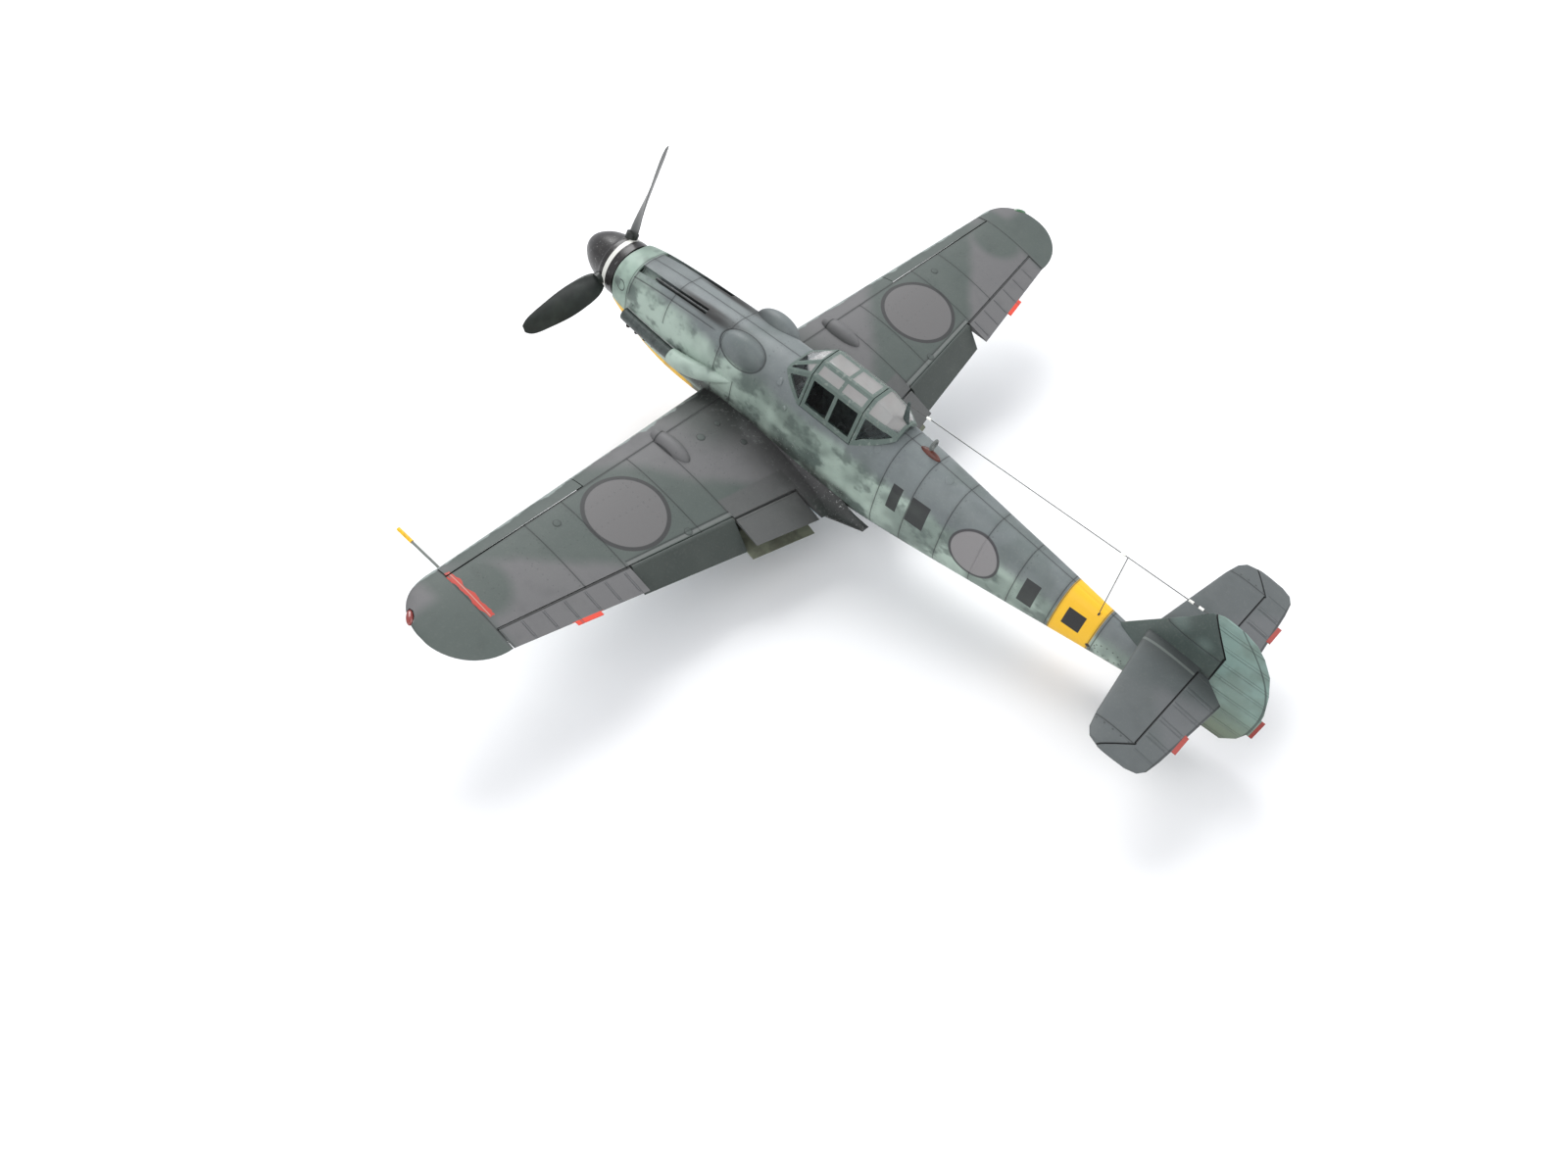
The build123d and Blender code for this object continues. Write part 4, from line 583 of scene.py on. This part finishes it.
p.coat(p.both(p.ramp(p.y, 8.742, 8.748), p.near(p.side, 0.90, 0.125)), srgb(0.62, 0.25, 0.22), 0.95)
p.coat(p.both(p.ramp(p.noise(14, 5), 0.57, 0.62), p.ramp(p.y, 7.86, 7.76)), ALLOY, 0.5, 0.4, 0.6)
p.finish("stabilisers", "elevators")

p = Paint("fin_camouflage", srgb(0.255, 0.300, 0.285), 0.55)
for y, z, size in ((8.22, 0.62, 0.10), (8.40, 0.66, 0.08), (8.05, 1.05, 0.09), (8.35, 1.02, 0.07)):
    p.coat(p.spot(p.y, p.z, (y, z), size, soft=0.9), srgb(0.40, 0.46, 0.44), 0.55)
moving = p.either(p.ramp(p.y, 8.575, 8.585), p.beyond(p.y, p.z, (8.235, 1.45), (8.575, 1.03), 0.006))
shade = p.ramp(p.z, 0.75, 0.10)
p.coat(moving, srgb(0.470, 0.565, 0.535))
p.coat(p.both(moving, shade), srgb(0.420, 0.455, 0.370), 0.85)
p.coat(p.both(moving, p.ramp(p.noise(2.2, 3), 0.46, 0.62)), srgb(0.36, 0.42, 0.38), 0.5)
p.coat(p.both(moving, p.ramp(p.z, 0.16, -0.02)), srgb(0.24, 0.25, 0.21), 0.6)
worn(p)
tapes(p, moving, p.z, 0.175)
lines(p, p.z, (0.96,), 0.03, p.math("SUBTRACT", 1.0, moving))
dark_gap(p, p.y, p.z, (8.572, 0.40), (8.572, 1.03), 0.007)
dark_gap(p, p.y, p.z, (8.572, 1.03), (8.235, 1.44), 0.007)
dx = p.math("SUBTRACT", p.y, 8.58)
bow = p.math("POWER", p.math("ABSOLUTE", p.math("DIVIDE", p.math("SUBTRACT", p.z, 0.48), 0.93)), 2.4)
rim = p.math("SUBTRACT", p.math("MULTIPLY_ADD", bow, -0.60, 0.585), dx)
p.coat(p.both(p.near(rim, 0.0, 0.008), moving), GAP, 0.6)
p.coat(p.both(p.ramp(p.y, 9.185, 9.19), p.near(p.z, 0.48, 0.145)), srgb(0.55, 0.16, 0.13), 0.95)
p.finish("fin", "rudder")
print("tail painted")

# %% [markdown]
# The propeller and everything hard or bare: spinner with its pale ring, dark blades with worn edges, exhausts, guns,
# undercarriage, tyres and the small fittings.

# %% Fittings
p = Paint("spinner_paint", srgb(0.115, 0.105, 0.100), 0.36, coat=0.2)
p.coat(p.near(p.y, 0.565, 0.026, 0.004), srgb(0.86, 0.86, 0.83), 0.96)
p.coat(p.ramp(p.noise(9, 5), 0.52, 0.70), srgb(0.26, 0.25, 0.24), 0.45)
p.coat(p.ramp(p.noise(34, 5, rough=0.7), 0.62, 0.65), ALLOY, 0.4, 0.4, 0.6)
p.sink(p.near(p.y, 0.615, 0.004, 0.004), 2.5)
p.finish("spinner", "spinner_backplate")
p = Paint("blade_paint", srgb(0.105, 0.125, 0.110), 0.42, coat=0.15)
p.coat(p.ramp(p.noise(5, 5), 0.45, 0.70), srgb(0.20, 0.225, 0.205), 0.5)
p.coat(p.both(p.ramp(p.y, 0.44, 0.40), p.ramp(p.noise(20, 6, rough=0.7), 0.56, 0.62)), ALLOY, 0.5, 0.35, 0.8)
p.finish("propeller_blades")
p = Paint("exhaust_metal", srgb(0.20, 0.155, 0.125), 0.75, 0.5)
p.coat(p.ramp(p.noise(14, 5), 0.45, 0.62), srgb(0.36, 0.23, 0.15), 0.6)
p.coat(p.ramp(p.noise(6, 4), 0.50, 0.66), SOOT, 0.8)
p.sink(p.noise(60, 3), 1.2)
p.finish("exhausts")


def plain(name, colour, other, rough, metal, *names, scale=14.0, coat=0.0):
    """A worn single-colour finish with blotches of a second tone and a fine grain."""
    p = Paint(name, colour, rough, metal, coat)
    p.coat(p.ramp(p.noise(scale, 4), 0.42, 0.70), other, 0.55)
    p.coat(p.ramp(p.noise(scale * 4, 3), 0.58, 0.70), srgb(0.62, 0.62, 0.60), 0.16)
    p.sink(p.noise(scale * 5, 3), 0.6)
    p.finish(*names)
    return p


plain("shaft_metal", srgb(0.50, 0.50, 0.50), SOOT, 0.35, 0.9, "propeller_shaft")
plain("gun_metal", srgb(0.27, 0.28, 0.28), SOOT, 0.35, 0.5, "gun_barrels")
plain("cockpit_grey", INSIDE, srgb(0.15, 0.16, 0.165), 0.65, 0.0, "cockpit_tub", "control_stick", "shaft_bearing")
plain("seat_grey", srgb(0.34, 0.36, 0.35), srgb(0.20, 0.21, 0.21), 0.6, 0.0, "seat")
plain("armour_grey", srgb(0.42, 0.45, 0.44), srgb(0.25, 0.27, 0.27), 0.55, 0.0, "head_armour")
plain("panel_black", srgb(0.14, 0.15, 0.155), srgb(0.24, 0.25, 0.25), 0.5, 0.0, "instrument_panel")
plain("gear_paint", srgb(0.45, 0.49, 0.50), srgb(0.27, 0.29, 0.30), 0.55, 0.0,
      "gear_legs", "gear_doors", "tail_leg", "tail_fork")
plain("hub_black", srgb(0.17, 0.17, 0.18), srgb(0.33, 0.32, 0.30), 0.5, 0.0, "hub_left", "hub_right")
plain("mast_grey", srgb(0.20, 0.245, 0.235), srgb(0.30, 0.34, 0.33), 0.55, 0.0, "aerial_mast")
plain("wire_grey", srgb(0.30, 0.30, 0.29), srgb(0.20, 0.20, 0.20), 0.6, 0.0, "aerial_wire")
plain("bead_white", srgb(0.93, 0.93, 0.90), srgb(0.75, 0.75, 0.72), 0.3, 0.0, "insulators", coat=0.4)
p = plain("finder_brown", srgb(0.36, 0.185, 0.140), srgb(0.22, 0.12, 0.10), 0.45, 0.0, "direction_finder")
p.coat(p.ramp(p.z, 0.765, 0.785), srgb(0.36, 0.39, 0.38), 0.9)
p.put(p.shader.inputs["Base Color"], p.colour)
p = Paint("pitot_paint", srgb(0.42, 0.44, 0.42), 0.5)
p.coat(p.ramp(p.y, 2.125, 2.115), YELLOW)
p.coat(p.ramp(p.noise(20, 4), 0.5, 0.7), SOOT, 0.35)
p.finish("pitot_tube")
p = Paint("lamp_lens", srgb(0.48, 0.16, 0.14), 0.18, coat=0.8)
p.coat(p.ramp(p.x, 0.1, -0.1), srgb(0.14, 0.36, 0.22))
p.coat(p.ramp(p.noise(60, 3), 0.5, 0.7), srgb(0.9, 0.5, 0.4), 0.15)
p.finish("wing_lamps")
p = Paint("tyre_rubber", srgb(0.135, 0.135, 0.135), 0.85)
p.coat(p.ramp(p.noise(9, 5), 0.45, 0.68), srgb(0.30, 0.285, 0.26), 0.45)
p.sink(p.near(p.math("FRACT", p.math("MULTIPLY", p.x, 42.0)), 0.5, 0.12, 0.08), 1.5)
p.finish("tyre_left", "tyre_right", "tail_wheel")
print("fittings painted")

# %% [markdown]
# The glazing is clear plastic with faint smears, in heavy frames, and a painted reflection makes its roof panes
# whitish.

# %% Glazing
p = Paint("frame_paint", FRAME, 0.55)
worn(p, 1.0)
p.coat(p.ramp(p.noise(18, 5), 0.56, 0.66), srgb(0.55, 0.58, 0.55), 0.35)
p.finish("windscreen_frame", "canopy_frame", "rear_frame")
p = Paint("clear_panes", srgb(0.88, 0.91, 0.91), 0.04)
# The roof panes are painted whitish and made less clear: a painted reflection of the bright light above them.
roof = p.ramp(p.z, 0.800, 0.835)
p.shader.inputs["IOR"].default_value = 1.25
clear = p.math("SUBTRACT", 1.0, p.math("MULTIPLY", roof, 0.38))
p.put(p.shader.inputs["Transmission Weight"], clear)
p.coat(roof, srgb(0.80, 0.79, 0.78), 1.0, 0.10)
p.coat(p.ramp(p.noise(6, 4), 0.35, 0.8), srgb(0.80, 0.83, 0.82), 0.4, 0.16)
for station in (3.545, 3.93):
    p.coat(p.both(p.near(p.y, station, 0.012), p.near(p.side, 0.13, 0.012), roof), YELLOW, 0.95, 0.5)
p.finish("canopy_glass", "fixed_glass")
print("glazing painted")

# %% [markdown]
# Small raised pieces are closed grid surfaces laid on the skin: each grid point travels in one direction until it
# meets the surface below it, then comes back out by its own height.

# %% Grid tools
def skin_of(*names):
    """The surface of some CAD nodes, ready to be met by straight lines."""
    points, faces = [], []
    for name in names:
        mesh = nodes[name].data
        start = len(points)
        points += [v.co.copy() for v in mesh.vertices]
        faces += [[start + i for i in f.vertices] for f in mesh.polygons]
    return BVHTree.FromPolygons(points, faces)


def laid(skin, p, aim, lift):
    """Flight-frame points carried along aim to the skin, then lifted off it by lift full-size metres."""
    if skin is None:
        return p - np.array(aim) * lift[..., None]
    d = np.array(aim, float)
    way = (parked(*d) - parked(0, 0, 0)).normalized()
    found = [skin.ray_cast(Vector(q), way)[3] for q in parked_grid(p).reshape(-1, 3)]
    reach = np.array([np.nan if f is None else f / UNIT for f in found]).reshape(p.shape[:-1])
    reach = np.where(np.isnan(reach), np.nanmedian(reach), reach)
    return p + d * (reach - lift)[..., None]


def grid(name, p, body, material):
    """A closed surface from rows of rings: neighbouring rings are joined, and the rings at the ends are points."""
    rows, cols = p.shape[:2]
    left = np.arange(rows * cols).reshape(rows, cols)
    right = np.roll(left, -1, 1)
    quads = np.stack([left[:-1], left[1:], right[1:], right[:-1]], -1).reshape(-1, 4)
    mesh = bpy.data.meshes.new(name)
    mesh.from_pydata(parked_grid(p).reshape(-1, 3).tolist(), [], quads.tolist())
    work = bmesh.new()
    work.from_mesh(mesh)
    bmesh.ops.remove_doubles(work, verts=work.verts, dist=1e-7)
    bmesh.ops.recalc_face_normals(work, faces=work.faces)
    for face in work.faces:
        face.smooth = True
    work.to_mesh(mesh)
    work.free()
    o = bpy.data.objects.new(name, mesh)
    bpy.context.scene.collection.objects.link(o)
    mesh.materials.append(bpy.data.materials[material])
    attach(o, body)
    return o


def cap(name, skin, aim, centre, size, height, body, material, slot, deep=1.0):
    """A round cap: rings about the centre, out to a bevelled rim and back beneath; deep stretches it fore and aft."""
    ring = np.array([0.0, 0.45, 0.75, 0.90, 1.0, 1.0, 0.5, 0.0])
    up = np.array([1.0, 0.98, 0.92, 0.75, 0.2, -0.8, -1.0, -1.0]) * height
    angle = np.linspace(0, math.tau, 28, endpoint=False)
    fore, side = np.array((0, 1.0, 0)), np.cross(aim, (0, 1.0, 0))
    spread = np.cos(angle)[None, :, None] * fore * deep + np.sin(angle)[None, :, None] * side
    p = np.array(centre, float) + ring[:, None, None] * size * spread
    return grid(name, laid(skin, p, aim, np.repeat(up[:, None], 28, 1)), body, material)


def ribbon(name, skin, aim, path, half, height, body, material, slot, count=24):
    """A flat strip: a bevelled cross-section carried along the path's straight runs, with closed ends."""
    path = np.array(path, float)
    run = np.concatenate([[0], np.cumsum(np.linalg.norm(np.diff(path, axis=0), axis=1))])
    steps = np.linspace(0, run[-1], count)
    line = np.stack([np.interp(steps, run, path[:, i]) for i in range(3)], -1)
    side = np.cross(np.array(aim, float), np.gradient(line, axis=0))
    side /= np.linalg.norm(side, axis=1)[:, None]
    wide = np.array([-1, -1, -0.8, 0, 0.8, 1, 1, 0]) * half
    up = np.array([-1, 0.3, 1, 1, 1, 0.3, -1, -1]) * height
    p = laid(skin, line[:, None] + wide[None, :, None] * side[:, None], aim, np.repeat(up[None], count, 0))
    p = np.concatenate([p[:1].mean(1, keepdims=True).repeat(8, 1), p, p[-1:].mean(1, keepdims=True).repeat(8, 1)])
    return grid(name, p, body, material)


def tube(name, path, radius, body, material, count=28):
    """A round rod along a smoothed path: rings square to it, closed at both ends."""
    path = np.array(path, float)
    t = np.linspace(0, 1, len(path))
    curve = np.polynomial.polynomial.Polynomial
    degree = min(3, len(path) - 1)
    fits = [curve.fit(t, path[:, i], degree) for i in range(3)]
    line = np.stack([f(np.linspace(0, 1, count)) for f in fits], -1)
    ahead = np.gradient(line, axis=0)
    ahead /= np.linalg.norm(ahead, axis=1)[:, None]
    side = np.cross(ahead, (0.3, 0.2, 1.0) if abs(ahead[0, 2]) < 0.8 else (1.0, 0.2, 0))
    side /= np.linalg.norm(side, axis=1)[:, None]
    over = np.cross(ahead, side)
    angle = np.linspace(0, math.tau, 12, endpoint=False)
    ring = np.cos(angle)[None, :, None] * side[:, None] + np.sin(angle)[None, :, None] * over[:, None]
    p = line[:, None] + radius * ring
    p = np.concatenate([line[:1, None].repeat(12, 1), p, line[-1:, None].repeat(12, 1)])
    return grid(name, p, body, material)


print("grid tools ready")

# %% [markdown]
# The skin's small fittings: filler and inspection caps, knobs, the fabric tapes over the ribs of the
# moving surfaces, and dark strips that close the slots behind the slats: painted shade in the gaps.

# %% Fittings on the skin
DOWN, IN = (0, 0, -1.0), (-1.0, 0, 0)
ON_WING, ON_BODY = ("airframe", "wing_camouflage", "wing_paint"), ("airframe", "body_camouflage", "body_paint")
BODY_CAPS = (("filler_cap", (1.0, 3.26, 0.50), 0.036, 0.022), ("oil_cap", (1.0, 3.45, 0.306), 0.028, 0.026),
             ("vent_cap", (1.0, 3.45, -0.035), 0.020, 0.010), ("rear_cap", (1.0, 4.594, 0.584), 0.045, 0.006),
             ("ring_cap", (1.0, 0.80, 0.142), 0.055, 0.006), ("cowl_latch", (1.0, 1.10, 0.015), 0.020, 0.014))
wing_skin = skin_of("wing_uppers", "wing_tips")
body_skin = skin_of("fuselage_left", "fuselage_right", "gun_cover", "nose_ring")
for side, word in ((1, "left"), (-1, "right")):
    for i, (x, y, size) in enumerate(WING_CAPS):
        cap(f"wing_cap_{word}_{i}", wing_skin, DOWN, (side * x, y, 0.6), size, 0.006, *ON_WING)
    # A dark strip in the slot behind each slat: painted shade that closes the open slot.
    inner, outer = (side * 2.56, 2.62, -0.182), (side * 4.35, 2.704, -0.028)
    ribbon(f"slat_seal_{word}", None, DOWN, (inner, outer), 0.0060, 0.006, "airframe", "panel_black", "inside_paint")
for name, centre, size, height in BODY_CAPS:
    cap(name, body_skin, IN, centre, size, height, *ON_BODY)
cap("spine_cap", body_skin, DOWN, (0.093, 5.391, 1.2), 0.050, 0.006, *ON_BODY)
cap("lead_in_gland", body_skin, IN, (1.0, 7.386, 0.486), 0.020, 0.012, *ON_BODY)
print("caps and seals made")

# %% [markdown]
# Smooth rounded pieces: a half-round guard with a pale flange over each row of exhaust stubs, the bulges over the
# wheels' spaces in place of the CAD ones, and the lamp lenses of the wing tips.

# %% Guards, bulges and lenses
plain("guard_grey", srgb(0.27, 0.30, 0.29), srgb(0.15, 0.16, 0.16), 0.42, 0.2)
plain("flange_grey", srgb(0.60, 0.63, 0.61), srgb(0.36, 0.38, 0.37), 0.5, 0.2)


def guard(name, side):
    """A bent plate along y: x = wall + 0.035 + r sin b and z = -0.155 + r cos b, for b from -30 to 125 degrees."""
    y = np.linspace(1.03, 1.88, 32)
    start = np.stack([np.full(32, side * 1.0), y, np.full(32, -0.10)], -1)
    wall = laid(body_skin, start[:, None], (-side, 0, 0), np.zeros((32, 1)))[:, 0, 0]
    bend = np.radians(np.concatenate([np.linspace(-30, 125, 12), np.linspace(125, -30, 12)]))
    r = np.repeat([0.078, 0.068], 12) * np.ones((32, 1))
    x = wall[:, None] + side * (0.035 + r * np.sin(bend))
    p = np.stack([x, y[:, None] * np.ones(24), -0.155 + r * np.cos(bend)], -1)
    p = np.concatenate([p[:1].mean(1, keepdims=True).repeat(24, 1), p, p[-1:].mean(1, keepdims=True).repeat(24, 1)])
    return grid(name, p, "airframe", "guard_grey")


def bulge(name, centre, size, angle, material):
    """An ellipsoid with half-axes size, turned by angle about z: p = centre + turn(size * unit sphere)."""
    high = np.linspace(math.pi / 2, -math.pi / 2, 25)
    about = np.linspace(0, math.tau, 40, endpoint=False)
    across, along = np.cos(high)[:, None] * np.cos(about), np.cos(high)[:, None] * np.sin(about)
    p = np.stack([across, along, np.repeat(np.sin(high)[:, None], 40, 1)], -1) * np.array(size)
    c, s = math.cos(angle), math.sin(angle)
    turned = np.stack([p[..., 0] * c - p[..., 1] * s, p[..., 0] * s + p[..., 1] * c, p[..., 2]], -1)
    return grid(name, turned + np.array(centre), "airframe", material)


def middle(name, side):
    """The flight-frame centre of a CAD node's vertices on one side."""
    found = [(v.co - SHIFT) / UNIT for v in nodes[name].data.vertices if v.co.x * side > 0]
    at = [(min(v[i] for v in found) + max(v[i] for v in found)) / 2 for i in range(3)]
    c, s = math.cos(PITCH), math.sin(PITCH)
    return at[0], at[1] * c - at[2] * s, at[1] * s + at[2] * c


for side, word in ((1, "left"), (-1, "right")):
    guard(f"exhaust_guard_{word}", side)
    line = ((side * 1.0, 1.03, -0.070), (side * 1.0, 1.90, -0.070))
    looks = ("airframe", "flange_grey", "body_paint")
    ribbon(f"guard_flange_{word}", body_skin, (-side, 0, 0), line, 0.006, 0.012, *looks)
    over_wheel = (side * 1.42, 2.80, -0.185)
    o = bulge(f"wheel_bulge_{word}", over_wheel, (0.11, 0.29, 0.115), 0.0, "wing_camouflage")
    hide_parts("wheel_blisters")
    corner, sweep = middle("wing_lamps", side), -side * math.radians(38)
    o = bulge(f"lamp_glass_{word}", corner, (0.036, 0.088, 0.030), sweep, "lamp_lens")
    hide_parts("wing_lamps")
print("guards, bulges and lenses made")

# %% [markdown]
# Rib tapes: a strip on each rib of the elevators, rudder and ailerons, on both faces of the rudder.

# %% Rib tapes
elevator_skin, rudder_skin = skin_of("elevators"), skin_of("rudder")
on_elevator, on_rudder = ("elevators", "tailplane_camouflage", "tail_paint"), ("rudder", "fin_camouflage", "fin_paint")
for side, word in ((1, "left"), (-1, "right")):
    for i in range(1, 5):
        x = side * (0.235 * (i + 1) - 0.1175)
        ends = ((x, 8.50, 1.5), (x, 8.80 - 0.098 * abs(x), 1.5))
        ribbon(f"elevator_tape_{word}_{i}", elevator_skin, DOWN, ends, 0.013, 0.0035, *on_elevator)
    for i, rear in enumerate((8.86, 9.04, 9.10, 9.12, 9.08, 9.00)):
        z = 0.175 * (i + 1) - 0.0875
        ends = ((side * 1.0, 8.64, z), (side * 1.0, rear, z))
        ribbon(f"rudder_tape_{word}_{i}", rudder_skin, (-side, 0, 0), ends, 0.012, 0.0035, *on_rudder)
    aileron_skin = skin_of(f"aileron_{word}")
    on_aileron = (f"aileron_{word}", "wing_camouflage", "wing_paint")
    for i in range(6):
        x = 2.9375 + 0.235 * i
        ends = ((side * x, 4.115 - 0.137 * x, 1.0), (side * x, 4.490 - 0.189 * x, 1.0))
        ribbon(f"aileron_tape_{word}_{i}", aileron_skin, DOWN, ends, 0.012, 0.0035, *on_aileron)
print("tapes made")

# %% [markdown]
# In the cockpit, straps lie over the seat and a lever stands on the left wall. A brake hose follows each leg.

# %% Cockpit and undercarriage fittings
plain("strap_canvas", srgb(0.60, 0.57, 0.49), srgb(0.38, 0.35, 0.30), 0.8, 0.0, scale=30.0)
for side, word in ((1, "left"), (-1, "right")):
    x = side * 0.07
    strap = ((x, 4.182, 0.395), (x, 4.108, 0.06), (x * 0.8, 4.085, -0.06), (x * 0.4, 3.98, -0.088))
    looks = ("airframe", "strap_canvas", "inside_paint")
    ribbon(f"seat_strap_{word}", None, (0, -0.5, -0.87), strap, 0.022, 0.005, *looks, 30)
    hose = ((0.655, 2.50, -0.58), (0.76, 2.40, -0.93), (0.84, 2.32, -1.20), (0.875, 2.26, -1.36))
    hose = [(side * x, y, z) for x, y, z in hose]
    tube(f"brake_hose_{word}", hose, 0.011, "airframe", "tyre_rubber")
lever = ((0.262, 3.74, 0.10), (0.252, 3.72, 0.18), (0.232, 3.70, 0.25))
tube("throttle_lever", lever, 0.010, "airframe", "bead_white")
print("cockpit and leg fittings made")

# %% [markdown]
# The camera, the floor and soft studio light from large lamps around and above the model.

# %% Studio
for o in [o for o in bpy.data.objects if o.type in {"LIGHT", "CAMERA"}]:
    bpy.data.objects.remove(o)
right, down, ahead = ((-0.66851, 0.72445, 0.16811), (0.53296, 0.62433, -0.57111), (-0.51870, -0.29220, -0.80347))
c, s = math.cos(PITCH), math.sin(PITCH)
turn = Matrix(((1, 0, 0), (0, c, s), (0, -s, c)))
cam = bpy.data.objects.new("camera", bpy.data.cameras.new("camera"))
bpy.context.scene.collection.objects.link(cam)
cam.data.lens, cam.data.sensor_width = 29.753, 36.0
cam.data.clip_start, cam.data.clip_end = 0.01, 10.0
basis = Matrix([turn @ Vector(right), turn @ -Vector(down), turn @ -Vector(ahead)]).transposed()
cam.matrix_world = Matrix.Translation(parked(8.64019, 8.70687, 10.35890)) @ basis.to_4x4()
bpy.context.scene.camera = cam


def lamp(name, place, size, power, tint=(1, 1, 1)):
    """A square soft lamp aimed at the model."""
    light = bpy.data.lights.new(name, "AREA")
    light.size, light.energy, light.color = size, power, tint
    o = bpy.data.objects.new(name, light)
    bpy.context.scene.collection.objects.link(o)
    o.location = place
    o.rotation_euler = (Vector((0, 0, 0.03)) - Vector(place)).to_track_quat("-Z", "Y").to_euler()
    return o


lamp("key", (-0.35, -0.55, 0.95), 0.7, 9.0)
lamp("fill", (0.95, 0.25, 0.75), 0.9, 6.0)
lamp("back", (-0.75, 0.70, 0.60), 0.8, 4.0)
world = bpy.data.worlds.new("studio")
bpy.context.scene.world = world
world.use_nodes = True
world.node_tree.nodes["Background"].inputs["Color"].default_value = (0.93, 0.95, 1.0, 1)
world.node_tree.nodes["Background"].inputs["Strength"].default_value = 0.75
bpy.context.scene.view_settings.view_transform = "Standard"

bpy.ops.mesh.primitive_plane_add(size=4.0, location=(0, 0, 0))
floor = bpy.context.object
floor.name = "floor"
p = Paint("floor_white", srgb(0.93, 0.93, 0.93), 0.75)
p.coat(p.ramp(p.noise(0.5, 2), 0.3, 0.7), srgb(0.90, 0.90, 0.90), 0.5)
p.finish()
floor.data.materials.append(p.material)
floor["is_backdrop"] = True
print("studio ready")

# %% Finish
size = {"cad": cad_box, "scene": [list(v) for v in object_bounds()]}
print("size", size)
